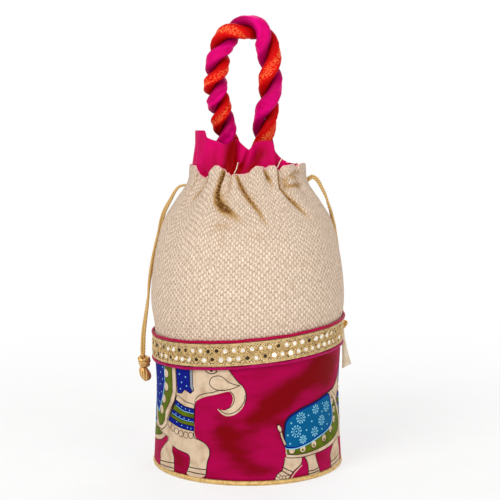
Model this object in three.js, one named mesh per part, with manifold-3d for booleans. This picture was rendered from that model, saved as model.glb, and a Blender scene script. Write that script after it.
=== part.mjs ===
// A potli bag: a round drawstring pouch on a stiff disc. The lower half is a printed panel,
// a mirror-work lace band covers the seam above it, and a jute panel is gathered to the neck
// on two drawcords. A satin frill stands up out of the neck, and a handle of two padded
// plies, twisted into a rope, rises from inside it.
// Millimetres, Z up, front towards -Y, origin on the floor under the middle of the base.
// An azimuth is an angle about Z, 0 at the front and positive towards +X, in degrees.

import * as THREE from 'three';
import { ParametricGeometry } from 'three/addons/geometries/ParametricGeometry.js';
import { mergeVertices } from 'three/addons/utils/BufferGeometryUtils.js';
import Module from 'manifold-3d';

// Fits
const CLEARANCE = 0.3;
const NEST_CLEARANCE = 0.4;
const LINING_SLACK = 1;

// Outer face of the cloth body: radius at each level, and the rise of each level from the one
// below it
const BASE_RADIUS = 62.4;
const WAIST_RADIUS = 60.2;
const BAND_RADIUS = 61.2;
const BELLY_RADIUS = 63.4;
const BREAST_RADIUS = 60.4;
const SHOULDER_RADIUS = 54.4;
const SLOPE_RADIUS = 46.9;
const NECK_RADIUS = 39.1;
const BRIM_RADIUS = 37.6;
const WAIST_RISE = 54;
const BAND_RISE = 23.9;
const BAND_WIDTH = 14.3;
const BELLY_RISE = 16.8;
const BREAST_RISE = 31;
const SHOULDER_RISE = 22.5;
const SLOPE_RISE = 12.5;
const NECK_RISE = 12;
const BRIM_RISE = 11.5;
const NECK_DEPTH_RATIO = 0.79;

// Cloth
const JUTE_THICKNESS = 1.2;
const PRINT_THICKNESS = 1.0;
const FRILL_THICKNESS = 0.8;
const LINING_THICKNESS = 0.6;
const BRIM_DIP = 7;
const FOLD_FADE = 1.5;

// Base
const BASE_CLOTH_THICKNESS = 0.8;
const BASE_BOARD_THICKNESS = 2;
const BASE_PIPING_RADIUS = 1.6;
const BASE_PIPING_OVERHANG = 0.6;

// Band that covers the seam, higher on the right than on the left
const BAND_TILT = 5.4;
const PIPING_RADIUS = 1.05;
const MIRROR_RISE = 0.6;
const MIRRORS_PER_ROW = 38;
const MIRROR_ROW_SHARE = 0.28;
const LACE_EDGE_RISE = 1.0;
const LACE_MIDDLE_RISE = 1.15;

// Drawcords, each at its own height in the channel, measured from the neck
const CORD_RADIUS = 1.6;
const RING_RADIUS = 1.5;
const LEFT_RING_RISE = -3.6;
const RIGHT_RING_RISE = 0.2;
const SLIT_RADIUS = 2.8;

// Frill, sewn to the lining inside the brim
const FRILL_TUCK = 8.5;
const LINING_TUCK = 5.5;
const FRILL_LEAN = 2.2;
const FRILL_FREE_RISE = 5;
const FRILL_FOLD_RISE = 9;

// Handle
const PLY_RISE = 3.55;
const PLY_HALF_WIDTH = 5.6;
const PLY_GAP = 0.6;

// Mesh fineness
const PLEAT_SLICES = 72;
const BODY_SLICES = 40;
const PIPING_SIDES = 5;
const HIDDEN_SLICES = 32;
const CORD_SIDES = 8;
const CORD_STEP = 8.6;
const KNOT_SLICES = 10;
const KNOT_ROWS = 8;
const PLY_SIDES = 7;
const PLY_TURN_STEP = 28;
const MERGE_DISTANCE = 1e-4;

// Folds gathered in by the drawcords: azimuth of each valley at the neck, its depth, its half
// width, how far it drifts round below the neck and how far down it reaches
const NECK_FOLDS = [
  { at: -51, depth: 4.5, half: 10, drift: -3, reach: 36 },
  { at: -21, depth: 4.5, half: 8, drift: 14, reach: 40 },
  { at: -5, depth: 3.4, half: 6.5, drift: 18, reach: 52 },
  { at: 21, depth: 2.4, half: 6.5, drift: 5, reach: 28 },
  { at: 38, depth: 4.2, half: 8.5, drift: 9, reach: 46 },
  { at: 60, depth: 2.8, half: 7, drift: 4, reach: 26 },
  { at: 106, depth: 4.2, half: 9, drift: 4, reach: 36 },
  { at: 132, depth: 4.5, half: 9, drift: 6, reach: 44 },
  { at: 180, depth: 3.6, half: 9, drift: -5, reach: 48 },
  { at: -132, depth: 4.5, half: 9, drift: -8, reach: 40 },
  { at: -107, depth: 4.0, half: 9, drift: -3, reach: 34 },
];

// Top edge of the frill: azimuth and height above the brim, once round
const FRILL_EDGE = [
  [-180, 5.5], [-150, 7.5], [-125, 10.5], [-100, 16.5], [-82, 21.5], [-54, 22], [-47, 18.5],
  [-34, 17], [-26, 11.5], [-11, 17.5], [2, 11], [9, 15], [24, 16.1], [32, 12.5],
  [40, 5.5], [52, -0.5], [75, -2], [100, -1], [125, 1.5], [150, 4.5], [180, 5.5],
];

// Folds of the frill above the brim
const FRILL_FOLDS = [
  { at: -64, depth: 1.6, half: 9 },
  { at: -24, depth: 5.2, half: 14 },
  { at: 3, depth: 3.6, half: 10 },
  { at: 34, depth: 3.4, half: 11 },
  { at: 70, depth: 2.5, half: 12 },
  { at: 110, depth: 3.2, half: 12 },
  { at: 178, depth: 2.4, half: 9 },
  { at: -118, depth: 3.4, half: 14 },
];

// Centre line of the handle, from its left foot over the top to its right foot. Heights are
// above the brim
const HANDLE_ROUTE = [
  [-11.2, 17.6, -4.2], [-12.2, 13.4, 6], [-14, 9.6, 17.5], [-16.2, 7, 27.9],
  [-19, 3.4, 40.1], [-20.9, 0.8, 49.5], [-20, 0, 60], [-18, 0, 72.5], [-12.6, 0, 82.5],
  [-4.2, 0, 87.5], [4.4, 0, 87.7], [10.6, 0, 82.9], [13.4, 0, 73.4], [14.8, 0, 60.5],
  [14.6, 0.8, 48.9], [13.2, 3.6, 38], [11.4, 7, 27.9], [10.2, 10.7, 15.3],
  [9.6, 13.8, 5.5], [9.3, 17.6, -4.2],
];

// Half turns of the rope at lengths along the handle. At a whole number one ply faces the
// front, and the turns grow longer towards the right foot
const HANDLE_TURNS = [
  [0, -2.4], [23.6, -1], [39.5, 0], [52.6, 1], [64.5, 2], [79.5, 3], [97, 4], [117.8, 5],
  [140.2, 6], [161.1, 7], [187.9, 8], [209.2, 8.8],
];

// Centre lines of the drawcord tails, from the channel down to their knots. Heights are above
// the cord's place in the channel
const LEFT_TAIL_ROUTE = [
  [-35.2, 0, 0], [-40.6, 0.2, 1], [-44.7, 1.2, -0.2], [-47.8, 2.4, -3.9],
  [-50.2, 3.6, -8.4], [-52.8, 4.8, -13], [-55, 6.6, -17.6], [-56.6, 9, -22.8],
  [-58.6, 13, -32.4], [-61.3, 12.2, -43.1], [-63.6, 10.2, -53.7], [-65.2, 7.8, -64.4],
  [-66, 5.6, -74.9], [-67.4, 3.2, -85.8], [-68.8, 1.5, -96.4], [-69.3, 0.5, -105.9],
  [-69.4, 0, -111.5],
];
const RIGHT_TAIL_ROUTE = [
  [33.6, 0, 0], [38.6, 0, 0.5], [42.2, 0.3, 2.6], [45.4, 1, 0.6], [48.6, 2, -4.8],
  [51.2, 3, -10.1], [53, 4.6, -15.4], [54.8, 7.4, -20.7], [56, 11.8, -26], [57.2, 14.8, -31.2],
  [58, 16.8, -36.6], [59.6, 19.8, -46.9], [60.4, 22, -55.2], [60.9, 23, -63], [61.6, 23, -71.2],
  [62.4, 22.2, -79.2], [63.4, 20.3, -88.6], [64.2, 18.4, -94.8],
];
const LEFT_KNOT = { radius: 4.2, height: 8.2, wraps: 3, groove: 0.7, taper: 0.55 };
const LEFT_BULB = { radius: 4.1, length: 9, tilt: -22, shift: 0.9 };
const RIGHT_KNOT = { radius: 2.7, height: 4.8, shift: [0.2, -0.2] };
const RIGHT_END_ROUTE = [
  [64.4, 18.2, -100.5], [65, 16.8, -108.2], [65.9, 16.2, -116.2], [66.8, 15.6, -124.2],
];
const RIGHT_END = { rootWidth: 2.4, tipWidth: 5.6, thickness: 1.2 };

const FINISHES = {
  jute: { color: 0xdec4a0, roughness: 0.95 },
  print: { color: 0xaa0050, roughness: 0.7 },
  lace: { color: 0xc8a05a, roughness: 0.45, metalness: 0.5 },
  satin: { color: 0xc80060, roughness: 0.45 },
  magentaPly: { color: 0xd4006a, roughness: 0.45 },
  orangePly: { color: 0xd8200d, roughness: 0.45 },
  piping: { color: 0xb90050, roughness: 0.5 },
  zari: { color: 0xe1b973, roughness: 0.45, metalness: 0.5 },
  cord: { color: 0xcda55a, roughness: 0.5, metalness: 0.2 },
  knot: { color: 0xb8863c, roughness: 0.5, metalness: 0.2 },
  cream: { color: 0xebd7b9, roughness: 0.9 },
  lining: { color: 0x9c1050, roughness: 0.8 },
  board: { color: 0xb9a27c, roughness: 0.9 },
};

const { degToRad, smoothstep, lerp } = THREE.MathUtils;
const wasm = await Module();
wasm.setup();

// Levels

const WAIST_HEIGHT = WAIST_RISE;
const BAND_BOTTOM = WAIST_HEIGHT + BAND_RISE;
const BAND_TOP = BAND_BOTTOM + BAND_WIDTH;
const BELLY_HEIGHT = BAND_TOP + BELLY_RISE;
const BREAST_HEIGHT = BELLY_HEIGHT + BREAST_RISE;
const SHOULDER_HEIGHT = BREAST_HEIGHT + SHOULDER_RISE;
const SLOPE_HEIGHT = SHOULDER_HEIGHT + SLOPE_RISE;
const NECK_HEIGHT = SLOPE_HEIGHT + NECK_RISE;
const BRIM_HEIGHT = NECK_HEIGHT + BRIM_RISE;
const FRILL_FOOT = BRIM_HEIGHT - FRILL_TUCK;
const LINING_TOP = BRIM_HEIGHT - LINING_TUCK;
const LEFT_RING_HEIGHT = NECK_HEIGHT + LEFT_RING_RISE;
const RIGHT_RING_HEIGHT = NECK_HEIGHT + RIGHT_RING_RISE;
const CHANNEL_FOOT = LEFT_RING_HEIGHT - RING_RADIUS - CLEARANCE;
const CHANNEL_TOP = RIGHT_RING_HEIGHT + RING_RADIUS + CLEARANCE;
const SEAM_HEIGHT = BAND_BOTTOM + BAND_WIDTH / 2;
const UPPER_PIPING_HEIGHT = BAND_TOP + CLEARANCE + PIPING_RADIUS;
const LOWER_PIPING_HEIGHT = BAND_BOTTOM - CLEARANCE - PIPING_RADIUS;

// Body surface

const profile = new THREE.CubicInterpolant(
  [0, WAIST_HEIGHT, BAND_BOTTOM, BAND_TOP, BELLY_HEIGHT, BREAST_HEIGHT, SHOULDER_HEIGHT,
    SLOPE_HEIGHT, NECK_HEIGHT, BRIM_HEIGHT],
  [BASE_RADIUS, WAIST_RADIUS, BAND_RADIUS, BAND_RADIUS, BELLY_RADIUS, BREAST_RADIUS, SHOULDER_RADIUS,
    SLOPE_RADIUS, NECK_RADIUS, BRIM_RADIUS],
  1,
);

const bodyRadius = (height) => profile.evaluate(height)[0];

// Depth over width of the body's outline: round below, flattened towards the neck
const depthRatio = (height) => lerp(1, NECK_DEPTH_RATIO, smoothstep(height, BREAST_HEIGHT, NECK_HEIGHT));

// Height of a point of the band, or of the panels beside it, once the band's tilt is added
function tilted(height, azimuth) {
  const rise = BAND_TILT * Math.sin(azimuth);
  const share = height < SEAM_HEIGHT
    ? smoothstep(height, 0, LOWER_PIPING_HEIGHT)
    : 1 - smoothstep(height, UPPER_PIPING_HEIGHT, BRIM_HEIGHT);
  return height + rise * share;
}

// A fold's valley across its width: 1 in the middle and 0 at its edges
function valley(azimuth, at, half) {
  const turn = THREE.MathUtils.euclideanModulo(azimuth - degToRad(at) + Math.PI, 2 * Math.PI) - Math.PI;
  const across = Math.abs(turn) / degToRad(half);
  return across < 1 ? Math.cos((across * Math.PI) / 2) ** 2 : 0;
}

// Share of a fold's reach that lies between the neck and a height
const below = (fold, height) => THREE.MathUtils.clamp((NECK_HEIGHT - height) / fold.reach, 0, 1);

const fadedDepth = (fold, height) => fold.depth * (1 - below(fold, height)) ** FOLD_FADE;

const deepestFold = (height) => Math.max(...NECK_FOLDS.map((fold) => fadedDepth(fold, height)));

// Depth of the gathered folds at a point of the neck or shoulder
function neckFolding(azimuth, height) {
  return NECK_FOLDS.reduce((sum, fold) => {
    const drop = below(fold, height);
    const across = valley(azimuth, fold.at + fold.drift * drop, fold.half * (1 + drop));
    return sum + fadedDepth(fold, height) * across;
  }, 0);
}

// Point of the body's outline at a height, drawn in by an inset
function outlinePoint(azimuth, height, inset) {
  const radius = bodyRadius(height);
  return new THREE.Vector3(
    (radius - inset) * Math.sin(azimuth),
    -(radius * depthRatio(height) - inset) * Math.cos(azimuth),
    height,
  );
}

// Closed surfaces

// Merges the shared vertices of a surface and drops triangles without area
function solid(surface) {
  surface.deleteAttribute('normal');
  surface.deleteAttribute('uv');
  const merged = mergeVertices(surface, MERGE_DISTANCE);
  const index = merged.getIndex().array;
  const kept = [];
  for (let i = 0; i < index.length; i += 3) {
    const [a, b, c] = [index[i], index[i + 1], index[i + 2]];
    if (a !== b && b !== c && c !== a) kept.push(a, b, c);
  }
  merged.setIndex(kept);
  merged.computeVertexNormals();
  return merged;
}

// Ring-shaped body: rows of a closed section, each carried once round the Z axis
function ringSolid(rows, slices, place) {
  const surface = (u, v, target) => {
    const row = rows[Math.round(v * rows.length) % rows.length];
    target.copy(place(u * 2 * Math.PI, row));
  };
  return solid(new ParametricGeometry(surface, slices, rows.length));
}

// Cup-shaped body or swept body: rows from one closed end to the other
function cappedSolid(rows, slices, place) {
  const surface = (u, v, target) => {
    target.copy(place(u * 2 * Math.PI, rows[Math.round(v * (rows.length - 1))]));
  };
  return solid(new ParametricGeometry(surface, slices, rows.length - 1));
}

// Rows up the outer face of a cloth wall and down its inner face, by share of its height
function wallRows(outerShares, innerShares) {
  const outer = outerShares.map((share) => ({ share, depth: 0 }));
  const inner = innerShares.map((share) => ({ share, depth: 1 })).reverse();
  return [...outer, ...inner];
}

const circleRows = (sides) => Array.from({ length: sides }, (_, i) => (i / sides) * 2 * Math.PI);

// Points of a route whose heights are measured from a level
function placed(route, level) {
  return route.map(([x, y, rise]) => new THREE.Vector3(x, y, level + rise));
}

const evenShares = (count) => Array.from({ length: count + 1 }, (_, i) => i / count);

// Booleans

function toManifold(geometry) {
  const mesh = new wasm.Mesh({
    numProp: 3,
    vertProperties: new Float32Array(geometry.getAttribute('position').array),
    triVerts: new Uint32Array(geometry.getIndex().array),
  });
  return new wasm.Manifold(mesh);
}

function fromManifold(manifold) {
  const mesh = manifold.getMesh();
  const geometry = new THREE.BufferGeometry();
  geometry.setAttribute('position', new THREE.BufferAttribute(new Float32Array(mesh.vertProperties), 3));
  geometry.setIndex([...mesh.triVerts]);
  geometry.computeVertexNormals();
  return geometry;
}

function cut(geometry, tools) {
  return fromManifold(tools.reduce((body, tool) => body.subtract(toManifold(tool)), toManifold(geometry)));
}

// Base

const BOARD_TOP = BASE_CLOTH_THICKNESS + CLEARANCE + BASE_BOARD_THICKNESS;
const BASE_PIPING_CENTRE = BASE_RADIUS + BASE_PIPING_OVERHANG - BASE_PIPING_RADIUS;
const BOARD_RADIUS = BASE_PIPING_CENTRE - BASE_PIPING_RADIUS - NEST_CLEARANCE;

function disc(radius, bottom, thickness) {
  const geometry = new THREE.CylinderGeometry(radius, radius, thickness, BODY_SLICES);
  geometry.rotateX(Math.PI / 2);
  geometry.translate(0, 0, bottom + thickness / 2);
  return solid(geometry);
}

const baseCloth = () => disc(BOARD_RADIUS, 0, BASE_CLOTH_THICKNESS);

const baseBoard = () => disc(BOARD_RADIUS, BASE_CLOTH_THICKNESS + CLEARANCE, BASE_BOARD_THICKNESS);

function basePiping() {
  const geometry = new THREE.TorusGeometry(
    BASE_PIPING_CENTRE, BASE_PIPING_RADIUS, PIPING_SIDES, BODY_SLICES,
  );
  geometry.translate(0, 0, BASE_PIPING_RADIUS);
  return solid(geometry);
}

// Panels

const PANEL_FOOT = 2 * BASE_PIPING_RADIUS + CLEARANCE;

function printedPanel() {
  const top = SEAM_HEIGHT - CLEARANCE / 2;
  return ringSolid(wallRows(evenShares(3), evenShares(3)), BODY_SLICES, (azimuth, row) => {
    const height = tilted(lerp(PANEL_FOOT, top, row.share), azimuth);
    return outlinePoint(azimuth, height, row.depth * PRINT_THICKNESS);
  });
}

// Height of the jute's top edge, which dips in each valley
function brimHeight(azimuth) {
  return BRIM_HEIGHT - (BRIM_DIP * neckFolding(azimuth, NECK_HEIGHT)) / deepestFold(NECK_HEIGHT);
}

function cordSlit(side, height) {
  const depth = 4 * JUTE_THICKNESS + SLIT_RADIUS;
  const geometry = new THREE.CylinderGeometry(SLIT_RADIUS, SLIT_RADIUS, depth, CORD_SIDES);
  geometry.rotateZ(Math.PI / 2);
  geometry.translate(side * (bodyRadius(height) - JUTE_THICKNESS / 2), 0, height);
  return solid(geometry);
}

function jutePanel() {
  const foot = SEAM_HEIGHT + CLEARANCE / 2;
  const shareOf = (height) => (height - foot) / (BRIM_HEIGHT - foot);
  const pinch = (SLOPE_HEIGHT + NECK_HEIGHT) / 2;
  const outer = [
    foot, BAND_TOP, BELLY_HEIGHT, BREAST_HEIGHT, (BREAST_HEIGHT + SHOULDER_HEIGHT) / 2,
    SHOULDER_HEIGHT, SLOPE_HEIGHT, pinch, NECK_HEIGHT, BRIM_HEIGHT,
  ].map(shareOf);
  const inner = [
    foot, BAND_TOP, BELLY_HEIGHT, BREAST_HEIGHT, SHOULDER_HEIGHT, SLOPE_HEIGHT, NECK_HEIGHT, BRIM_HEIGHT,
  ].map(shareOf);
  const wall = ringSolid(wallRows(outer, inner), PLEAT_SLICES, (azimuth, row) => {
    const height = tilted(lerp(foot, brimHeight(azimuth), row.share), azimuth);
    return outlinePoint(azimuth, height, neckFolding(azimuth, height) + row.depth * JUTE_THICKNESS);
  });
  return cut(wall, [
    cordSlit(-1, LEFT_RING_HEIGHT + LEFT_TAIL_ROUTE[1][2]),
    cordSlit(1, RIGHT_RING_HEIGHT + RIGHT_TAIL_ROUTE[1][2]),
  ]);
}

// Band

function bandRing(height, radius, offset) {
  return ringSolid(circleRows(PIPING_SIDES), BODY_SLICES, (azimuth, angle) => {
    const centre = tilted(height, azimuth);
    const point = outlinePoint(azimuth, centre, -(offset + radius + radius * Math.cos(angle)));
    point.z += radius * Math.sin(angle);
    return point;
  });
}

const upperPiping = () => bandRing(UPPER_PIPING_HEIGHT, PIPING_RADIUS, NEST_CLEARANCE);

const lowerPiping = () => bandRing(LOWER_PIPING_HEIGHT, PIPING_RADIUS, NEST_CLEARANCE);

// Net band whose mirrors stand proud in two staggered rows
function laceBand() {
  const rows = [
    { share: 0, rise: 0 },
    { share: 0, rise: LACE_EDGE_RISE },
    { share: MIRROR_ROW_SHARE, rise: LACE_MIDDLE_RISE, mirrors: 0 },
    { share: 0.5, rise: LACE_MIDDLE_RISE },
    { share: 1 - MIRROR_ROW_SHARE, rise: LACE_MIDDLE_RISE, mirrors: 1 },
    { share: 1, rise: LACE_EDGE_RISE },
    { share: 1, rise: 0 },
  ];
  return ringSolid(rows, 2 * MIRRORS_PER_ROW, (azimuth, { share, rise, mirrors }) => {
    const height = tilted(lerp(BAND_BOTTOM, BAND_TOP, share), azimuth);
    const column = Math.round((azimuth * MIRRORS_PER_ROW) / Math.PI);
    const proud = rise + (column % 2 === mirrors ? MIRROR_RISE : 0);
    return outlinePoint(azimuth, height, -(CLEARANCE + proud));
  });
}

// Neck

// Inset of the cord channel, which every valley of the jute clears
const channelInset = JUTE_THICKNESS + deepestFold(NECK_HEIGHT) + NEST_CLEARANCE;

function drawcordRing(height) {
  return ringSolid(circleRows(PIPING_SIDES), HIDDEN_SLICES, (azimuth, angle) => {
    const inset = channelInset + RING_RADIUS - RING_RADIUS * Math.cos(angle);
    const point = outlinePoint(azimuth, height, inset);
    point.z += RING_RADIUS * Math.sin(angle);
    return point;
  });
}

// Inset of the lining's outer face: behind the drawcords in the channel, and close behind
// the deepest valley of the frill above it
function liningInset(height) {
  const inJute = smoothstep(height, BAND_BOTTOM - BAND_TILT, SEAM_HEIGHT);
  const shell = lerp(PRINT_THICKNESS, JUTE_THICKNESS, inJute);
  const inChannel = smoothstep(height, SLOPE_HEIGHT, CHANNEL_FOOT);
  const aboveCords = smoothstep(height, CHANNEL_TOP, LINING_TOP);
  const behindCords = (2 * RING_RADIUS + 3 * NEST_CLEARANCE) * inChannel * (1 - aboveCords);
  const behindFrill = (FRILL_THICKNESS + NEST_CLEARANCE) * aboveCords;
  return shell + LINING_SLACK + deepestFold(height) + behindCords + behindFrill;
}

function lining() {
  const foot = BOARD_TOP + CLEARANCE;
  const cordMiddle = (LEFT_RING_HEIGHT + RIGHT_RING_HEIGHT) / 2;
  const outer = [
    foot, WAIST_HEIGHT, BAND_BOTTOM, BAND_TOP + BAND_TILT, BELLY_HEIGHT, BREAST_HEIGHT,
    SHOULDER_HEIGHT, SLOPE_HEIGHT, CHANNEL_FOOT, cordMiddle, CHANNEL_TOP, LINING_TOP,
  ];
  const inner = [
    LINING_TOP, CHANNEL_TOP, CHANNEL_FOOT, SHOULDER_HEIGHT, BREAST_HEIGHT, BELLY_HEIGHT,
    WAIST_HEIGHT, foot + LINING_THICKNESS,
  ];
  const rows = [
    { height: foot, depth: 0, spread: 0 },
    ...outer.map((height) => ({ height, depth: 0, spread: 1 })),
    ...inner.map((height) => ({ height, depth: LINING_THICKNESS, spread: 1 })),
    { height: foot + LINING_THICKNESS, depth: LINING_THICKNESS, spread: 0 },
  ];
  return cappedSolid(rows, HIDDEN_SLICES, (azimuth, row) => {
    const point = outlinePoint(azimuth, row.height, liningInset(row.height) + row.depth);
    point.x *= row.spread;
    point.y *= row.spread;
    return point;
  });
}

const frillEdge = new THREE.CubicInterpolant(
  FRILL_EDGE.map(([azimuth]) => degToRad(azimuth)),
  FRILL_EDGE.map(([, rise]) => rise),
  1,
);

function frillRise(azimuth) {
  const turn = THREE.MathUtils.euclideanModulo(azimuth + Math.PI, 2 * Math.PI) - Math.PI;
  return frillEdge.evaluate(turn)[0];
}

function frillFolding(azimuth) {
  return FRILL_FOLDS.reduce(
    (sum, fold) => sum + fold.depth * valley(azimuth, fold.at, fold.half),
    0,
  );
}

function frill() {
  const outer = [0, 0.35, 0.7, 1];
  const inner = [0, 0.5, 1];
  return ringSolid(wallRows(outer, inner), PLEAT_SLICES, (azimuth, row) => {
    const height = lerp(FRILL_FOOT, BRIM_HEIGHT + frillRise(azimuth), row.share);
    const free = smoothstep(height, BRIM_HEIGHT - BRIM_DIP, BRIM_HEIGHT + FRILL_FREE_RISE);
    const ownShare = smoothstep(height, BRIM_HEIGHT, BRIM_HEIGHT + FRILL_FOLD_RISE);
    const folding = lerp(neckFolding(azimuth, NECK_HEIGHT), frillFolding(azimuth), ownShare);
    const inset = JUTE_THICKNESS + NEST_CLEARANCE + folding + free * FRILL_LEAN;
    return outlinePoint(azimuth, height, inset + row.depth * FRILL_THICKNESS);
  });
}

// Handle

const handleCurve = new THREE.CatmullRomCurve3(
  placed(HANDLE_ROUTE, BRIM_HEIGHT), false, 'centripetal',
);

const handleRun = new THREE.CubicInterpolant(
  HANDLE_TURNS.map(([, halfTurns]) => halfTurns), HANDLE_TURNS.map(([run]) => run), 1,
);

// Places along the handle at even steps of the rope's turn
function handleStations() {
  const first = HANDLE_TURNS[0][1];
  const last = HANDLE_TURNS[HANDLE_TURNS.length - 1][1];
  const length = handleRun.evaluate(last)[0];
  const count = Math.ceil(((last - first) * 180) / PLY_TURN_STEP);
  return evenShares(count).map((done) => {
    const halfTurns = lerp(first, last, done);
    return { share: handleRun.evaluate(halfTurns)[0] / length, turn: halfTurns * Math.PI };
  });
}

// One of the two plies: an oval section carried round the rope's centre line
function handlePly(phase) {
  const stations = handleStations();
  const rows = [
    { ...stations[0], spread: 0 },
    ...stations.map((station) => ({ ...station, spread: 1 })),
    { ...stations[stations.length - 1], spread: 0 },
  ];
  const offset = PLY_RISE + PLY_GAP / 2;
  const forward = new THREE.Vector3(0, -1, 0);
  return cappedSolid(rows, PLY_SIDES, (angle, row) => {
    const centre = handleCurve.getPointAt(row.share);
    const tangent = handleCurve.getTangentAt(row.share);
    const front = forward.clone().addScaledVector(tangent, -forward.dot(tangent)).normalize();
    const outward = front.applyAxisAngle(tangent, row.turn + phase);
    const across = tangent.clone().cross(outward);
    return centre
      .addScaledVector(outward, offset + PLY_RISE * Math.cos(angle) * row.spread)
      .addScaledVector(across, PLY_HALF_WIDTH * Math.sin(angle) * row.spread);
  });
}

// Drawcord tails

function drawcordTail(points) {
  const path = new THREE.CatmullRomCurve3(points);
  const round = new THREE.Path().absarc(0, 0, CORD_RADIUS, 0, 2 * Math.PI);
  const section = new THREE.Shape(round.getSpacedPoints(CORD_SIDES).slice(0, CORD_SIDES));
  const steps = Math.round(path.getLength() / CORD_STEP);
  return solid(new THREE.ExtrudeGeometry(section, { steps, extrudePath: path }));
}

const leftTailPoints = placed(LEFT_TAIL_ROUTE, LEFT_RING_HEIGHT);
const rightTailPoints = placed(RIGHT_TAIL_ROUTE, RIGHT_RING_HEIGHT);
const leftTailEnd = leftTailPoints[leftTailPoints.length - 1];
const rightTailEnd = rightTailPoints[rightTailPoints.length - 1];

// Cord wrapped round itself: a barrel with a groove between its wraps
function leftKnot() {
  const { radius, height, wraps, groove, taper } = LEFT_KNOT;
  const points = [new THREE.Vector2(0, -height / 2)];
  const count = 2 * wraps;
  for (let i = 0; i <= count; i += 1) {
    const share = (2 * i) / count - 1;
    const barrel = radius * Math.sqrt(1 - taper * share * share);
    points.push(new THREE.Vector2(barrel - (i % 2 === 0 ? groove : 0), (share * height) / 2));
  }
  points.push(new THREE.Vector2(0, height / 2));
  const geometry = new THREE.LatheGeometry(points, KNOT_SLICES);
  geometry.rotateX(Math.PI / 2);
  geometry.translate(
    leftTailEnd.x, leftTailEnd.y, leftTailEnd.z - CLEARANCE - height / 2,
  );
  return solid(geometry);
}

function leftBulb() {
  const { radius, length, tilt, shift } = LEFT_BULB;
  const geometry = new THREE.SphereGeometry(radius, KNOT_SLICES, KNOT_ROWS);
  geometry.rotateX(Math.PI / 2);
  geometry.scale(1, 1, length / 2 / radius);
  geometry.rotateY(degToRad(tilt));
  geometry.computeBoundingBox();
  const top = leftTailEnd.z - 2 * CLEARANCE - LEFT_KNOT.height;
  geometry.translate(leftTailEnd.x + shift, leftTailEnd.y, top - geometry.boundingBox.max.z);
  return solid(geometry);
}

function rightKnot() {
  const { radius, height, shift } = RIGHT_KNOT;
  const geometry = new THREE.SphereGeometry(radius, KNOT_SLICES, KNOT_ROWS);
  geometry.rotateX(Math.PI / 2);
  geometry.scale(1, 1, height / 2 / radius);
  const end = rightTailEnd;
  geometry.translate(end.x + shift[0], end.y + shift[1], end.z - CLEARANCE - height / 2);
  return solid(geometry);
}

// Flat cloth end below the right knot, wider at its tip
function rightEnd() {
  const { rootWidth, tipWidth, thickness } = RIGHT_END;
  const path = new THREE.CatmullRomCurve3(placed(RIGHT_END_ROUTE, RIGHT_RING_HEIGHT));
  const rows = [
    { share: 0, spread: 0 },
    ...evenShares(5).map((share) => ({ share, spread: 1 })),
    { share: 1, spread: 0 },
  ];
  return cappedSolid(rows, CORD_SIDES, (angle, { share, spread }) => {
    const width = lerp(rootWidth, tipWidth, share);
    const point = new THREE.Vector3(width * Math.cos(angle), -thickness * Math.sin(angle), 0);
    return path.getPointAt(share).addScaledVector(point, spread / 2);
  });
}

// Assembly

const bag = new THREE.Group();

function addPart(name, geometry, finish) {
  const mesh = new THREE.Mesh(geometry, new THREE.MeshStandardMaterial(finish));
  mesh.name = name;
  bag.add(mesh);
}

addPart('base_cloth', baseCloth(), FINISHES.satin);
addPart('base_board', baseBoard(), FINISHES.board);
addPart('base_piping', basePiping(), FINISHES.zari);
addPart('printed_panel', printedPanel(), FINISHES.print);
addPart('lower_piping', lowerPiping(), FINISHES.piping);
addPart('lace_band', laceBand(), FINISHES.lace);
addPart('upper_piping', upperPiping(), FINISHES.piping);
addPart('jute_panel', jutePanel(), FINISHES.jute);
addPart('lining', lining(), FINISHES.lining);
addPart('frill', frill(), FINISHES.satin);
addPart('drawcord_ring_left', drawcordRing(LEFT_RING_HEIGHT), FINISHES.cord);
addPart('drawcord_ring_right', drawcordRing(RIGHT_RING_HEIGHT), FINISHES.cord);
addPart('drawcord_tail_left', drawcordTail(leftTailPoints), FINISHES.cord);
addPart('drawcord_tail_right', drawcordTail(rightTailPoints), FINISHES.cord);
addPart('knot_left', leftKnot(), FINISHES.knot);
addPart('bulb_left', leftBulb(), FINISHES.knot);
addPart('knot_right', rightKnot(), FINISHES.knot);
addPart('cord_end_right', rightEnd(), FINISHES.cream);
addPart('handle_ply_orange', handlePly(0), FINISHES.orangePly);
addPart('handle_ply_magenta', handlePly(Math.PI), FINISHES.magentaPly);

export default bag;
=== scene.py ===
"""Potli bag: a round drawstring pouch of jute, printed cloth and mirror lace, in a plain studio.

Lengths are in millimetres unless a comment says otherwise, and each mesh is written in metres.
Z is up and the front looks towards -Y. An azimuth is an angle about Z, 0 at the front and
positive towards +X.
"""

import logging
import math
import random
from dataclasses import dataclass, field
from enum import Enum
from typing import Iterable, Sequence

import bmesh
import bpy
import numpy as np
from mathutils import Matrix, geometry


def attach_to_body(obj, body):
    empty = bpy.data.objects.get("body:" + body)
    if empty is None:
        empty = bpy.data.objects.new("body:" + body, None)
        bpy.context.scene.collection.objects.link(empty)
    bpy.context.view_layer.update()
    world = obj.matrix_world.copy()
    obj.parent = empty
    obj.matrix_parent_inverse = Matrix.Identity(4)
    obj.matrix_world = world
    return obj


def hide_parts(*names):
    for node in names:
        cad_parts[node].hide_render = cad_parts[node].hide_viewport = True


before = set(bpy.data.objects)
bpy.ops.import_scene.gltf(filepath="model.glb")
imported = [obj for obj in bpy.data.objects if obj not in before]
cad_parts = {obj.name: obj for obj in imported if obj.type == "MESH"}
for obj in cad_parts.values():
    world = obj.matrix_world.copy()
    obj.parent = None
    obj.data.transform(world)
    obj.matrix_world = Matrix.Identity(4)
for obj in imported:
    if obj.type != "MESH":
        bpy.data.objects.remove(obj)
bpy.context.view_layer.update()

LOG = logging.getLogger("potli_bag")
BODY = "root"
MM = 0.001
TAU = 2 * math.pi
SEED = 7

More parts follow.
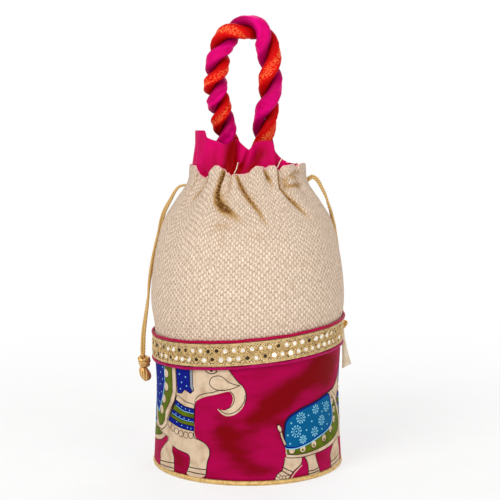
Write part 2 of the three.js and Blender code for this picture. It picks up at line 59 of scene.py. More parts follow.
WHITE = (1.0, 1.0, 1.0, 1.0)

Array = np.ndarray
Point = tuple[float, float]
Vector = tuple[float, float, float]
Colour = tuple[float, float, float, float]
Material = bpy.types.Material
Piece = bpy.types.Object
Socket = bpy.types.NodeSocket
Value = float | Vector | Colour | Socket


# Numbers and curves


def smoothstep(value: Array, low: float, high: float) -> Array:
    """Smooth step from 0 at low to 1 at high."""
    share = np.clip((np.asarray(value, dtype=float) - low) / (high - low), 0.0, 1.0)
    return share * share * (3.0 - 2.0 * share)


def lerp(start: Array, end: Array, share: Array) -> Array:
    """Straight blend from start to end."""
    return start + (end - start) * share


@dataclass(frozen=True)
class Interpolant:
    """Cubic curve through knots, as in the bag's profile.

    Attributes:
        knots: rising positions.
        values: value at each knot.
    """

    knots: tuple[float, ...]
    values: tuple[float, ...]

    def at(self, position: Array) -> Array:
        """Value of the curve.

        Args:
            position: one position or an array of them.

        Returns:
            The value at each position, held at the ends.
        """
        x, y = np.asarray(self.knots), np.asarray(self.values)
        t = np.clip(np.asarray(position, dtype=float), x[0], x[-1])
        last = len(x) - 1
        after = np.clip(np.searchsorted(x, t, side="right"), 1, last)
        before = after - 1
        previous = np.where(before > 0, before - 1, after)
        following = np.where(after < last, after + 1, before)
        half = (x[after] - x[before]) / 2
        weight_p = half / (x[before] - x[previous])
        weight_n = half / (x[following] - x[after])
        p = (t - x[before]) / (x[after] - x[before])
        pp, ppp = p * p, p * p * p
        s_p = -weight_p * ppp + 2 * weight_p * pp - weight_p * p
        s_0 = (1 + weight_p) * ppp + (-1.5 - 2 * weight_p) * pp + (-0.5 + weight_p) * p + 1
        s_1 = (-1 - weight_n) * ppp + (1.5 + weight_n) * pp + 0.5 * p
        s_n = weight_n * ppp - weight_n * pp
        return s_p * y[previous] + s_0 * y[before] + s_1 * y[after] + s_n * y[following]


def spline(points: Sequence[Sequence[float]], per_span: int = 12) -> Array:
    """Centripetal Catmull-Rom curve through points.

    Args:
        points: the points to pass through.
        per_span: samples between two points.

    Returns:
        The sampled curve, one row per sample.
    """
    given = np.asarray(points, dtype=float)
    padded = np.vstack([2 * given[0] - given[1], given, 2 * given[-1] - given[-2]])
    samples = []
    for i in range(1, len(padded) - 2):
        p0, p1, p2, p3 = padded[i - 1 : i + 3]
        t0 = 0.0
        t1 = t0 + math.sqrt(np.linalg.norm(p1 - p0))
        t2 = t1 + math.sqrt(np.linalg.norm(p2 - p1))
        t3 = t2 + math.sqrt(np.linalg.norm(p3 - p2))
        for t in np.linspace(t1, t2, per_span, endpoint=False):
            a1 = p0 + (p1 - p0) * (t - t0) / (t1 - t0)
            a2 = p1 + (p2 - p1) * (t - t1) / (t2 - t1)
            a3 = p2 + (p3 - p2) * (t - t2) / (t3 - t2)
            b1 = a1 + (a2 - a1) * (t - t0) / (t2 - t0)
            b2 = a2 + (a3 - a2) * (t - t1) / (t3 - t1)
            samples.append(b1 + (b2 - b1) * (t - t1) / (t2 - t1))
    samples.append(padded[-2])
    return np.array(samples)


def run_along(path: Array) -> Array:
    """Length run at each point of a path."""
    steps = np.linalg.norm(np.diff(path, axis=0), axis=1)
    return np.concatenate([[0.0], np.cumsum(steps)])


def resampled(path: Array, count: int) -> Array:
    """A path's points at even lengths.

    Args:
        path: points of the path.
        count: how many points to return.

    Returns:
        The evenly spaced points, both ends among them.
    """
    run = run_along(path)
    wanted = np.linspace(0.0, run[-1], count)
    return np.stack([np.interp(wanted, run, path[:, i]) for i in range(path.shape[1])], axis=1)


def tangents(path: Array, closed: bool = False) -> Array:
    """Unit direction of travel at each point of a path.

    Args:
        path: points of the path.
        closed: whether its last point leads to its first.

    Returns:
        One direction for each point.
    """
    if closed:
        along = np.roll(path, -1, axis=0) - np.roll(path, 1, axis=0)
    else:
        along = np.gradient(path, axis=0)
    return along / np.linalg.norm(along, axis=1)[:, None]


def wrapped_degrees(angle: Array) -> Array:
    """Angle in degrees brought into -180 to 180."""
    return (np.asarray(angle) + 180.0) % 360.0 - 180.0


# Body surface


@dataclass(frozen=True)
class Pleat:
    """A fold gathered in at the neck: its azimuth, depth, half width, drift and reach."""

    at: float
    depth: float
    half: float
    drift: float
    reach: float


@dataclass(frozen=True)
class Crease:
    """A sharp fold along a line on a cloth.

    Attributes:
        points: azimuth in degrees and height of each point.
        depth: depth in the middle of the line.
        width: distance over which the fold fades to each side.
        start_fade: shares of the line over which the fold deepens.
        end_fade: shares of the line over which it runs out.
    """

    points: tuple[Point, ...]
    depth: float
    width: float
    start_fade: Point = (-0.2, 0.15)
    end_fade: Point = (0.55, 1.15)

    def depth_at(self, azimuth: Array, height: Array, radius: float) -> Array:
        """Depth of the fold at points of the cloth.

        Args:
            azimuth: azimuths in radians.
            height: heights.
            radius: radius of the cloth near the fold.

        Returns:
            The depth at each point.
        """
        scale = math.radians(1.0) * radius
        first = self.points[0][0]
        across = wrapped_degrees(np.degrees(azimuth) - first) * scale
        line = np.array([((a - first) * scale, z) for a, z in self.points])
        run = run_along(line)
        nearest = np.full(across.shape, np.inf)
        share = np.zeros(across.shape)
        for i in range(len(line) - 1):
            start, span = line[i], line[i + 1] - line[i]
            length = float(span @ span)
            along = ((across - start[0]) * span[0] + (height - start[1]) * span[1]) / length
            along = np.clip(along, 0.0, 1.0)
            beside, above = across - start[0] - along * span[0], height - start[1] - along * span[1]
            gap = np.hypot(beside, above)
            closer = gap < nearest
            nearest = np.where(closer, gap, nearest)
            done = (run[i] + along * math.sqrt(length)) / run[-1]
            share = np.where(closer, done, share)
        taper = smoothstep(share, *self.start_fade) * (1.0 - smoothstep(share, *self.end_fade))
        return self.depth * taper * np.exp(-((nearest / self.width) ** 2))


@dataclass(frozen=True)
class BodyShape:
    """Outer face of the cloth body, on which every cloth lies."""

    profile: Interpolant = Interpolant(
        (0, 54, 77.9, 92.2, 109, 140, 162.5, 175, 187, 198.5),
        (62.4, 60.2, 61.2, 61.2, 63.4, 60.4, 54.4, 46.9, 39.1, 37.6),
    )
    neck_depth_ratio: float = 0.79
    breast_height: float = 140.0
    neck_height: float = 187.0
    brim_height: float = 198.5
    seam_height: float = 85.05
    band_bottom: float = 77.9
    band_width: float = 14.3
    band_tilt: float = 5.4
    lower_piping_height: float = 76.55
    upper_piping_height: float = 93.55
    pleats: tuple[Pleat, ...] = (
        Pleat(-51, 4.5, 10, -3, 36),
        Pleat(-21, 4.5, 8, 14, 40),
        Pleat(-5, 3.4, 6.5, 18, 52),
        Pleat(21, 2.4, 6.5, 5, 28),
        Pleat(38, 4.2, 8.5, 9, 46),
        Pleat(60, 2.8, 7, 4, 26),
        Pleat(106, 4.2, 9, 4, 36),
        Pleat(132, 4.5, 9, 6, 44),
        Pleat(180, 3.6, 9, -5, 48),
        Pleat(-132, 4.5, 9, -8, 40),
        Pleat(-107, 4.0, 9, -3, 34),
    )

    def radius(self, height: Array) -> Array:
        """Radius at a height, before the neck is flattened."""
        return self.profile.at(height)

    def depth_ratio(self, height: Array) -> Array:
        """Depth over width of the outline at a height."""
        flattened = smoothstep(height, self.breast_height, self.neck_height)
        return lerp(1.0, self.neck_depth_ratio, flattened)

    def tilted(self, height: Array, azimuth: Array) -> Array:
        """Height with the band's tilt added.

        Args:
            height: height on the untilted bag.
            azimuth: azimuth in radians.

        Returns:
            The height on the bag, where the band is higher on the right.
        """
        height = np.asarray(height, dtype=float)
        low = smoothstep(height, 0.0, self.lower_piping_height)
        high = 1.0 - smoothstep(height, self.upper_piping_height, self.brim_height)
        share = np.where(height < self.seam_height, low, high)
        return height + self.band_tilt * np.sin(azimuth) * share

    def folding(self, azimuth: Array, height: Array) -> Array:
        """Depth of the gathered pleats at points of the neck and shoulder.

        Args:
            azimuth: azimuths in radians.
            height: heights.

        Returns:
            How far the cloth is drawn in at each point.
        """
        total = np.zeros(np.broadcast(azimuth, height).shape)
        for pleat in self.pleats:
            below = np.clip((self.neck_height - height) / pleat.reach, 0.0, 1.0)
            centre = pleat.at + pleat.drift * below
            across = np.abs(wrapped_degrees(np.degrees(azimuth) - centre))
            across = across / (pleat.half * (1.0 + below))
            shape = np.where(across < 1.0, np.cos(np.clip(across, 0, 1) * math.pi / 2) ** 2, 0.0)
            total = total + pleat.depth * (1.0 - below) ** 1.5 * shape
        return total

    def point(self, azimuth: Array, height: Array, inset: Array) -> Array:
        """Points of the body's outline, drawn in by an inset.

        Args:
            azimuth: azimuths in radians.
            height: heights.
            inset: how far each point lies inside the outer face.

        Returns:
            The points, in an array with one more axis.
        """
        radius = self.radius(height)
        x = (radius - inset) * np.sin(azimuth)
        y = -(radius * self.depth_ratio(height) - inset) * np.cos(azimuth)
        return np.stack(np.broadcast_arrays(x, y, np.asarray(height, dtype=float)), axis=-1)


@dataclass(frozen=True)
class Patch:
    """A soft patch on a cloth: its middle, half sizes, strength and slant in degrees."""

    x: float
    z: float
    half_across: float
    half_up: float
    strength: float
    slant: float

    def share(self, across: Array, up: Array) -> Array:
        """How strong the patch is at points of the cloth.

        Args:
            across: distances round the cloth in millimetres.
            up: heights.

        Returns:
            The patch's share at each point.
        """
        angle = math.radians(self.slant)
        right, rise = across - self.x, up - self.z
        along = (right * math.cos(angle) + rise * math.sin(angle)) / self.half_across
        beside = (-right * math.sin(angle) + rise * math.cos(angle)) / self.half_up
        return self.strength * np.exp(-(along**2 + beside**2))


# Meshes


class MeshKit:
    """Builds Blender objects from millimetre points."""

    @staticmethod
    def make(
        name: str,
        vertices: Array,
        faces: Sequence[Sequence[int]],
        materials: Sequence[Material],
        inks: Sequence[int] | None = None,
        uvs: Array | None = None,
        attributes: dict[str, Array] | None = None,
        closed: bool = True,
    ) -> Piece:
        """Makes a smooth-shaded object.

        Args:
            name: the piece's name.
            vertices: points in millimetres.
            faces: vertex indices of each face.
            materials: the object's material slots.
            inks: material index of each face.
            uvs: texture position of each face corner, in millimetres.
            attributes: a number for each vertex under each name.
            closed: whether the faces enclose a space, so that normals can be turned outwards.

        Returns:
            The object, linked to the scene.
        """
        mesh = bpy.data.meshes.new(name)
        mesh.from_pydata((np.asarray(vertices) * MM).tolist(), [], faces)
        if uvs is not None:
            layer = mesh.uv_layers.new(name="cloth")
            layer.data.foreach_set("uv", np.asarray(uvs, dtype=np.float32).ravel())
        for key, values in (attributes or {}).items():
            attribute = mesh.attributes.new(key, "FLOAT", "POINT")
            attribute.data.foreach_set("value", np.asarray(values, dtype=np.float32).ravel())
        for material in materials:
            mesh.materials.append(material)
        if inks is not None:
            mesh.polygons.foreach_set("material_index", list(inks))
        mesh.polygons.foreach_set("use_smooth", [True] * len(mesh.polygons))
        if closed:
            work = bmesh.new()
            work.from_mesh(mesh)
            bmesh.ops.recalc_face_normals(work, faces=work.faces)
            work.to_mesh(mesh)
            work.free()
        mesh.update()
        piece = bpy.data.objects.new(name, mesh)
        bpy.context.scene.collection.objects.link(piece)
        return piece

    @staticmethod
    def grid(
        name: str,
        points: Array,
        uv: Array,
        material: Material,
        wrap_rows: bool = False,
        caps: bool = False,
        attributes: dict[str, Array] | None = None,
    ) -> Piece:
        """Makes an object from a grid of points whose last column joins the first.

        Args:
            name: the piece's name.
            points: rows by columns of points in millimetres.
            uv: texture position of each grid corner, one more where the grid wraps.
            material: the object's material.
            wrap_rows: whether the last row joins the first.
            caps: whether the first and last rows are closed with a face.
            attributes: a number for each grid point under each name.

        Returns:
            The object.
        """
        rows, columns = points.shape[:2]
        row_faces = rows if wrap_rows else rows - 1
        r, c = np.meshgrid(np.arange(row_faces), np.arange(columns), indexing="ij")
        r, c = r.ravel(), c.ravel()
        r2, c2 = (r + 1) % rows, (c + 1) % columns
        quads = np.stack(
            [r * columns + c, r * columns + c2, r2 * columns + c2, r2 * columns + c], axis=1
        )
        corner_uv = np.stack([uv[r, c], uv[r, c + 1], uv[r + 1, c + 1], uv[r + 1, c]], axis=1)
        faces = quads.tolist()
        loops = corner_uv.reshape(-1, 2)
        if caps:
            faces += [list(range(columns))[::-1], [(rows - 1) * columns + i for i in range(columns)]]
            loops = np.vstack([loops, uv[0, :columns][::-1], uv[rows - 1, :columns]])
        return MeshKit.make(
            name,
            points.reshape(-1, 3),
            faces,
            [material],
            uvs=loops,
            attributes={key: value.ravel() for key, value in (attributes or {}).items()},
        )

    @staticmethod
    def sweep(path: Array, radius: Array, sides: int, closed: bool = False) -> tuple[Array, Array]:
        """Round tube along a path.

        Args:
            path: centre line in millimetres.
            radius: one radius, or one for each point.
            sides: sides of the tube.
            closed: whether the path is a loop.

        Returns:
            The grid of points and the texture positions of its corners, in millimetres.
        """
        along = tangents(path, closed)
        normal = np.cross(along[0], (0.0, 0.0, 1.0))
        if np.linalg.norm(normal) < 1e-3:
            normal = np.cross(along[0], (0.0, 1.0, 0.0))
        normals = []
        for direction in along:
            normal = normal - direction * float(normal @ direction)
            normal = normal / np.linalg.norm(normal)
            normals.append(normal)
        side = np.array(normals)
        other = np.cross(along, side)
        angles = np.arange(sides) / sides * TAU
        size = np.broadcast_to(np.asarray(radius, dtype=float), (len(path),))[:, None, None]
        cosine, sine = np.cos(angles)[None, :, None], np.sin(angles)[None, :, None]
        points = path[:, None] + (cosine * side[:, None] + sine * other[:, None]) * size
        run = run_along(np.vstack([path, path[:1]]) if closed else path)
        return points, MeshKit.tube_uv(sides, TAU * float(np.mean(size)), run)

    @staticmethod
    def tube_uv(sides: int, girth: float, run: Array) -> Array:
        """Texture positions of a tube.

        Args:
            sides: sides of the tube.
            girth: length round it in millimetres.
            run: distance run along it at each row.

        Returns:
            Rows by sides + 1 of positions in millimetres.
        """
        around = np.arange(sides + 1) / sides * girth
        return np.stack(np.broadcast_arrays(around[None, :], run[:, None]), axis=-1)

    @staticmethod
    def tube(
        name: str,
        paths: Iterable[Array],
        radius: Array,
        sides: int,
        material: Material,
        closed: bool = False,
    ) -> Piece:
        """Makes one object of round tubes along several paths.

        Args:
            name: the piece's name.
            paths: centre lines in millimetres.
            radius: one radius, or one for each point of a path.
            sides: sides of each tube.
            material: the object's material.
            closed: whether the paths are loops.

        Returns:
            The object.
        """
        vertices, faces, loops = [], [], []
        offset = 0
        for path in paths:
            points, uv = MeshKit.sweep(path, radius, sides, closed)
            rows = points.shape[0]
            for r in range(rows if closed else rows - 1):
                for c in range(sides):
                    r2, c2 = (r + 1) % rows, (c + 1) % sides
                    quad = [r * sides + c, r * sides + c2, r2 * sides + c2, r2 * sides + c]
                    faces.append([offset + i for i in quad])
                    loops += [uv[r, c], uv[r, c + 1], uv[r + 1, c + 1], uv[r + 1, c]]
            if not closed:
                for r in (0, rows - 1):
                    faces.append([offset + r * sides + c for c in range(sides)])
                    loops += [uv[r, c] for c in range(sides)]
            vertices.append(points.reshape(-1, 3))
            offset += rows * sides
        return MeshKit.make(name, np.vstack(vertices), faces, [material], uvs=np.array(loops))


# Materials


def linear(code: str) -> Colour:
    """Linear colour of an sRGB hex code.

    Args:
        code: a hash and six hex digits.

    Returns:
        Red, green and blue from 0 to 1, and a full alpha.
    """
    channels = [int(code[i : i + 2], 16) / 255 for i in (1, 3, 5)]
    values = [c / 12.92 if c <= 0.04045 else ((c + 0.055) / 1.055) ** 2.4 for c in channels]
    return (values[0], values[1], values[2], 1.0)


@dataclass(frozen=True)
class Recipe:
    """A node's type, its settings, its inputs in the order they are given and its output."""

    kind: str
    settings: dict[str, object] = field(default_factory=dict)
    inputs: tuple[int | str, ...] = (0, 1, 2, 3, 4)
    output: int | str = 0


class Node(Enum):
    """Shader nodes by what they do."""

    ADD = Recipe("ShaderNodeMath", {"operation": "ADD"})
    SUBTRACT = Recipe("ShaderNodeMath", {"operation": "SUBTRACT"})
    MULTIPLY = Recipe("ShaderNodeMath", {"operation": "MULTIPLY"})
    MULTIPLY_ADD = Recipe("ShaderNodeMath", {"operation": "MULTIPLY_ADD"})
    POWER = Recipe("ShaderNodeMath", {"operation": "POWER"})
    SINE = Recipe("ShaderNodeMath", {"operation": "SINE"})
    ABSOLUTE = Recipe("ShaderNodeMath", {"operation": "ABSOLUTE"})
    SIGN = Recipe("ShaderNodeMath", {"operation": "SIGN"})
    MAXIMUM = Recipe("ShaderNodeMath", {"operation": "MAXIMUM"})
    GREATER_THAN = Recipe("ShaderNodeMath", {"operation": "GREATER_THAN"})
    LENGTH = Recipe("ShaderNodeVectorMath", {"operation": "LENGTH"}, (0,), "Value")
    RAMP = Recipe("ShaderNodeMapRange", {"interpolation_type": "SMOOTHSTEP"})
    MIX = Recipe("ShaderNodeMix", {"data_type": "RGBA"}, (0, 6, 7), 2)
    SHADE = Recipe("ShaderNodeMix", {"data_type": "RGBA", "blend_type": "MULTIPLY"}, (0, 6, 7), 2)
    CLOTH = Recipe("ShaderNodeUVMap", {"uv_map": "cloth"})
    AXES = Recipe("ShaderNodeSeparateXYZ")
    OBJECT = Recipe("ShaderNodeTexCoord", output="Object")
    ATTRIBUTE = Recipe("ShaderNodeAttribute", output="Fac")
    MAPPING = Recipe("ShaderNodeMapping", {}, ("Vector", "Scale"))
    NOISE = Recipe("ShaderNodeTexNoise", {}, ("Vector", "Scale", "Detail"), "Fac")
    BUMP = Recipe("ShaderNodeBump", {}, ("Height", "Distance", "Normal"))
    RAY = Recipe("ShaderNodeLightPath", output="Is Camera Ray")
    DIFFUSE = Recipe("ShaderNodeBsdfDiffuse", {}, ("Color",))
    EMISSION = Recipe("ShaderNodeEmission", {}, ("Color", "Strength"))
    BACKGROUND = Recipe("ShaderNodeBackground", {}, ("Color", "Strength"))
    EITHER_SURFACE = Recipe("ShaderNodeMixShader")
    PRINCIPLED = Recipe(
        "ShaderNodeBsdfPrincipled",
        {},
        ("Base Color", "Roughness", "Normal", "Metallic", "Specular IOR Level", "Sheen Weight"),
    )
    MATERIAL_OUTPUT = Recipe("ShaderNodeOutputMaterial")
    WORLD_OUTPUT = Recipe("ShaderNodeOutputWorld")


class Shader:
    """The node tree of a material, or of the surroundings, while it is built."""

    def __init__(self, owner: Material | bpy.types.World) -> None:
        """Empties the owner's node tree.

        Args:
            owner: the material or world.
        """
        owner.use_nodes = True
        self.owner = owner
        self.tree = owner.node_tree
        self.tree.nodes.clear()

    def add(self, node: Node, *values: Value | None, **settings: object) -> Socket | None:
        """Adds a node with its settings and links.

        Args:
            node: which node.
            values: for each input in order, a value, the socket that feeds it, or None to leave
                it as it is.
            settings: properties to set on the node besides its recipe's.

        Returns:
            The socket of the node's result, or None for an output node.
        """
        recipe = node.value
        made = self.tree.nodes.new(recipe.kind)
        for key, setting in {**recipe.settings, **settings}.items():
            setattr(made, key, setting)
        for key, value in zip(recipe.inputs, values):
            if isinstance(value, Socket):
                self.tree.links.new(value, made.inputs[key])
            elif value is not None:
                made.inputs[key].default_value = value
        return made.outputs[recipe.output] if made.outputs else None

    def cloth_axes(self) -> tuple[Socket, Socket, Socket]:
        """The cloth's own position in millimetres.

        Returns:
            The position as a vector, its part across the cloth and its part along it.
        """
        vector = self.add(Node.CLOTH)
        across = self.add(Node.AXES, vector)
        return vector, across, across.node.outputs[1]

    def noise(
        self,
        size: float,
        detail: float = 2.0,
        vector: Socket | None = None,
        stretch: Vector = (1.0, 1.0, 1.0),
    ) -> Socket:
        """Noise whose grain has a real size.

        Args:
            size: size of the grain in millimetres.
            detail: octaves of finer grain.
            vector: coordinates in millimetres, or None for the object's own.
            stretch: how many times longer the grain is along each axis.

        Returns:
            The noise's socket, around 0.5.
        """
        unit = MM if vector is None else 1.0
        place = self.add(Node.OBJECT) if vector is None else vector
        scale = tuple(1.0 / (size * unit * s) for s in stretch)
        return self.add(Node.NOISE, self.add(Node.MAPPING, place, scale), 1.0, detail)

    def weave(self, pitch: float, weft_level: float = 0.8, roundness: float = 0.55) -> Socket:
        """Height of a plain weave, 0 in the gaps and 1 on the warp's crowns.

        Args:
            pitch: width of one yarn, in millimetres.
            weft_level: height of the weft's crowns.
            roundness: how fast a crown falls off, from 0 for a flat one.

        Returns:
            The height's socket.
        """
        _, across, along = self.cloth_axes()
        waves = [
            self.add(Node.SINE, self.add(Node.MULTIPLY, axis, math.pi / pitch))
            for axis in (across, along)
        ]
        product = self.add(Node.MULTIPLY, *waves)
        crown = self.add(Node.POWER, self.add(Node.ABSOLUTE, product), roundness)
        is_warp = self.add(Node.GREATER_THAN, product, 0.0)
        level = self.add(Node.MULTIPLY_ADD, is_warp, 1.0 - weft_level, weft_level)
        return self.add(Node.MULTIPLY, crown, level)

    def finish(
        self,
        colour: Value,
        roughness: float,
        normal: Socket | None = None,
        metallic: float | None = None,
        specular: float | None = None,
        sheen: float | None = None,
    ) -> Material:
        """Ends the tree with a principled surface.

        Args:
            colour: its colour or the socket that gives it.
            roughness: its roughness.
            normal: the socket of its bumps.
            metallic: its metallic share, or None for none.
            specular: its specular level, or None for the usual one.
            sheen: its sheen, or None for none.

        Returns:
            The material.
        """
        surface = self.add(Node.PRINCIPLED, colour, roughness, normal, metallic, specular, sheen)
        self.add(Node.MATERIAL_OUTPUT, surface)
        return self.owner


@dataclass(frozen=True)
class JuteWeave:
    """Natural jute in a plain weave of thick yarn.

    The warp's crowns stand up as ovals, staggered from column to column, painted pale as a painted
    highlight, with small gaps at their corners painted dark as painted shade. The cloth is painted
    golden and brown in its folds as painted shade, which gives the eye a coarse, dry and slightly
    uneven surface.
    """

    # crown is a painted highlight; gap and the two fold colours after it are painted shade.
    crown: str = "#F8E2CF"
    yarn: str = "#DCC3AB"
    gap: str = "#80603C"
    shade_halo: str = "#B98A3E"
    shadow: str = "#6A3E0E"
    column_width: float = 1.8
    row_height: float = 1.8
    gap_share: float = 0.34
    groove_share: float = 0.26
    sway_size: float = 10.0
    sway: float = 1.6
    wander_size: float = 3.0
    wander: float = 1.3
    patch_size: float = 2.6
    slub_size: float = 2.0
    slub_length: float = 3.0
    fleck_size: float = 1.5
    hair_size: float = 0.35
    hair_depth: float = 0.06
    yarn_depth: float = 0.4

    def waves(self, s: Shader) -> tuple[Socket, Socket]:
        """Waves of the warp's columns and of the weft's rows.

        Args:
            s: the shader.

        Returns:
            A wave across the cloth and one along it, which wander as the yarn does.
        """
        vector, across, along = s.cloth_axes()
        sway = s.add(
            Node.MULTIPLY_ADD, s.noise(self.sway_size, 2.0, vector), self.sway, -self.sway / 2
        )
        wander = s.add(Node.MULTIPLY_ADD, s.noise(self.wander_size, 1.0, vector), self.wander, sway)
        column = s.add(Node.MULTIPLY, s.add(Node.ADD, across, wander), math.pi / self.column_width)
        row = s.add(Node.MULTIPLY, s.add(Node.SUBTRACT, along, wander), math.pi / self.row_height)
        return s.add(Node.SINE, column), s.add(Node.SINE, row)

    def build(self) -> Material:
        """Makes the material."""
        s = Shader(bpy.data.materials.new("jute_weave"))
        vector, _, _ = s.cloth_axes()
        column, row = self.waves(s)
        # Each column's crowns stand beside its neighbour's gaps.
        stagger = s.add(Node.MULTIPLY, row, s.add(Node.SIGN, column))
        bead = s.add(Node.RAMP, stagger, -0.95, 0.2)
        ridge = s.add(Node.RAMP, s.add(Node.ABSOLUTE, column), 0.0, 0.75)
        crown = s.add(Node.MULTIPLY, bead, ridge)
        # Crowns are painted paler as a painted highlight, and slubs make some paler than others
        # along the warp.
        lumps = s.noise(self.slub_size, 2.0, vector, (1.0, self.slub_length, 1.0))
        slub = s.add(Node.MULTIPLY, crown, s.add(Node.RAMP, lumps, 0.3, 0.62, 0.15, 1.0))
        cloth = s.add(Node.MIX, slub, linear(self.yarn), linear(self.crown))
        # Gaps between crowns and grooves between columns are painted darker as painted shade, in
        # some patches more so.
        uneven = s.add(Node.RAMP, s.noise(self.patch_size, 2.0, vector), 0.36, 0.64, 0.2, 1.0)
        between = s.add(Node.MULTIPLY_ADD, bead, -self.gap_share, self.gap_share)
        beside = s.add(Node.MULTIPLY_ADD, ridge, -self.groove_share, self.groove_share)
        low = s.add(Node.MULTIPLY, s.add(Node.ADD, between, beside), uneven)
        cloth = s.add(Node.MIX, low, cloth, linear(self.gap))
        # Painted shade in the folds: golden in flecks, then brown.
        painted_shade = s.add(Node.ATTRIBUTE, attribute_name="painted_shade")
        fleck = s.add(Node.RAMP, s.noise(self.fleck_size, 2.0, vector), 0.3, 0.6, 0.5, 1.0)
        flecked = s.add(Node.MULTIPLY, painted_shade, fleck)
        tint = s.add(Node.RAMP, flecked, 0.0, 0.55, 0.0, 0.85)
        cloth = s.add(Node.MIX, tint, cloth, linear(self.shade_halo))
        cloth = s.add(Node.MIX, s.add(Node.RAMP, flecked, 0.4, 1.0), cloth, linear(self.shadow))
        hair = s.add(Node.BUMP, s.noise(self.hair_size), self.hair_depth * MM)
        bumps = s.add(Node.BUMP, crown, self.yarn_depth * MM, hair)
        return s.finish(cloth, 0.95, bumps, specular=0.08)


@dataclass(frozen=True)
class PrintedCloth:
    """Silk-blend cloth under one printed colour.

    Its weave's grooves are painted slightly darker, as painted shade, and a faint sheen lifts its
    edges. The threads are drawn 0.55 mm apart, about three times the real spacing, so that they
    show. The ground's second colour is painted shade, laid in soft patches that an attribute of
    the mesh sets.
    """

    name: str
    colour: str
    shade_patch: str | None = None
    variation: str | None = None
    pitch: float = 0.55
    cloud_size: float = 10.0
    cloud_stretch: Vector = (2.4, 0.9, 1.0)
    cloud_share: float = 0.3
    variation_size: float = 7.0
    groove_tone: float = 0.84
    thread_depth: float = 0.05

    def build(self) -> Material:
        """Makes the material."""
        s = Shader(bpy.data.materials.new("print_" + self.name))
        vector, _, _ = s.cloth_axes()
        colour = linear(self.colour)
        # The ground's dark-red patches are painted shade.
        if self.shade_patch:
            noise = s.noise(self.cloud_size, 3.0, vector, self.cloud_stretch)
            cloud = s.add(Node.RAMP, noise, 0.3, 0.7, -self.cloud_share, self.cloud_share)
            shade_patch = s.add(Node.ADD, s.add(Node.ATTRIBUTE, attribute_name="shade_patch"), cloud)
            share = s.add(Node.RAMP, shade_patch, -0.25, 1.15)
            colour = s.add(Node.MIX, share, colour, linear(self.shade_patch))
        if self.variation:
            tone = s.add(Node.RAMP, s.noise(self.variation_size, 3.0, vector), 0.36, 0.8)
            colour = s.add(Node.MIX, tone, colour, linear(self.variation))
        # The weave's grooves are painted darker: painted shade.
        weave = s.weave(self.pitch)
        shade = s.add(Node.RAMP, weave, 0.0, 0.8, self.groove_tone, 1.0)
        shaded = s.add(Node.SHADE, 1.0, colour, shade)
        bumps = s.add(Node.BUMP, weave, self.thread_depth * MM)
        return s.finish(shaded, 0.6, bumps, specular=0.05)


@dataclass(frozen=True)
class Satin:
    """Plain satin, woven so that long threads lie on its face.

    Its highlights are soft and wide, its colour is painted deeper in the folds as painted shade,
    and small puckers from the sewing break the light up. The ribs are drawn 0.45 mm apart or more,
    about three times the real spacing, so that they show.
    """

    name: str
    colour: str
    shade_colour: str
    light: str
    pucker: float = 0.12
    pucker_size: float = 5.0
    pucker_length: float = 1.6
    shine: float = 0.05
    rib: float = 0.45
    rib_depth: float = 0.012

    def build(self) -> Material:
        """Makes the material."""
        s = Shader(bpy.data.materials.new("satin_" + self.name))
        vector, across, along = s.cloth_axes()
        tone = s.noise(self.pucker_size * 2, 2.0, vector, (1.0, 1.4, 1.0))
        base = s.add(
            Node.MIX, s.add(Node.RAMP, tone, 0.35, 0.7), linear(self.colour), linear(self.light)
        )
        # Painted shade: the folds are mixed towards the deeper colour.
        painted_shade = s.add(Node.ATTRIBUTE, attribute_name="painted_shade")
        colour = s.add(Node.MIX, painted_shade, base, linear(self.shade_colour))
        slant = s.add(Node.ADD, across, along)
        thread = s.add(Node.SINE, s.add(Node.MULTIPLY, slant, TAU / self.rib))
        lumps = s.noise(self.pucker_size, 2.0, vector, (1.0, self.pucker_length, 1.0))
        puckers = s.add(Node.BUMP, lumps, self.pucker * MM)
        bumps = s.add(Node.BUMP, thread, self.rib_depth * MM, puckers)
        return s.finish(colour, 0.46, bumps, specular=self.shine)


@dataclass(frozen=True)
class Brocade:
    """Orange-red brocade, woven with a bright extra thread that shows in specks.

    The specks gather on the crown of the padded ply, where the thread catches the light, so they
    are partly a painted highlight; its sides are plain red, painted deeper in the grooves and on the
    back as painted shade.
    """

    colour: str = "#DA0808"
    speck: str = "#FF7440"
    shade_colour: str = "#A00006"
    speck_size: float = 0.85
    speck_depth: float = 0.12
    speck_share: float = 0.85
    bloom_size: float = 7.5
    bloom_weight: float = 0.36
    crown_weight: float = 0.34
    pucker_size: float = 3.5
    pucker_depth: float = 0.25

    def build(self) -> Material:
        """Makes the material."""
        s = Shader(bpy.data.materials.new("brocade_orange"))
        vector, _, _ = s.cloth_axes()
        grain = s.noise(self.speck_size, 2.0, vector)
        # The crown attribute places the specks' painted highlight.
        crown = s.add(Node.ATTRIBUTE, attribute_name="crown")
        on_crown = s.add(Node.MULTIPLY, crown, self.crown_weight)
        bloom = s.add(Node.MULTIPLY, s.noise(self.bloom_size, 1.0, vector), self.bloom_weight)
        weight = s.add(Node.ADD, grain, s.add(Node.ADD, on_crown, bloom))
        specks = s.add(Node.MULTIPLY, s.add(Node.RAMP, weight, 0.99, 1.07), self.speck_share)
        # Painted shade: grooves and back are mixed towards the deeper red.
        painted_shade = s.add(Node.ATTRIBUTE, attribute_name="painted_shade")
        red = s.add(Node.MIX, painted_shade, linear(self.colour), linear(self.shade_colour))
        colour = s.add(Node.MIX, specks, red, linear(self.speck))
        lumps = s.noise(self.pucker_size, 2.0, vector, (1.0, 2.0, 1.0))
        puckers = s.add(Node.BUMP, lumps, self.pucker_depth * MM)
        bumps = s.add(Node.BUMP, grain, self.speck_depth * MM, puckers)
        return s.finish(colour, 0.55, bumps, specular=0.06)


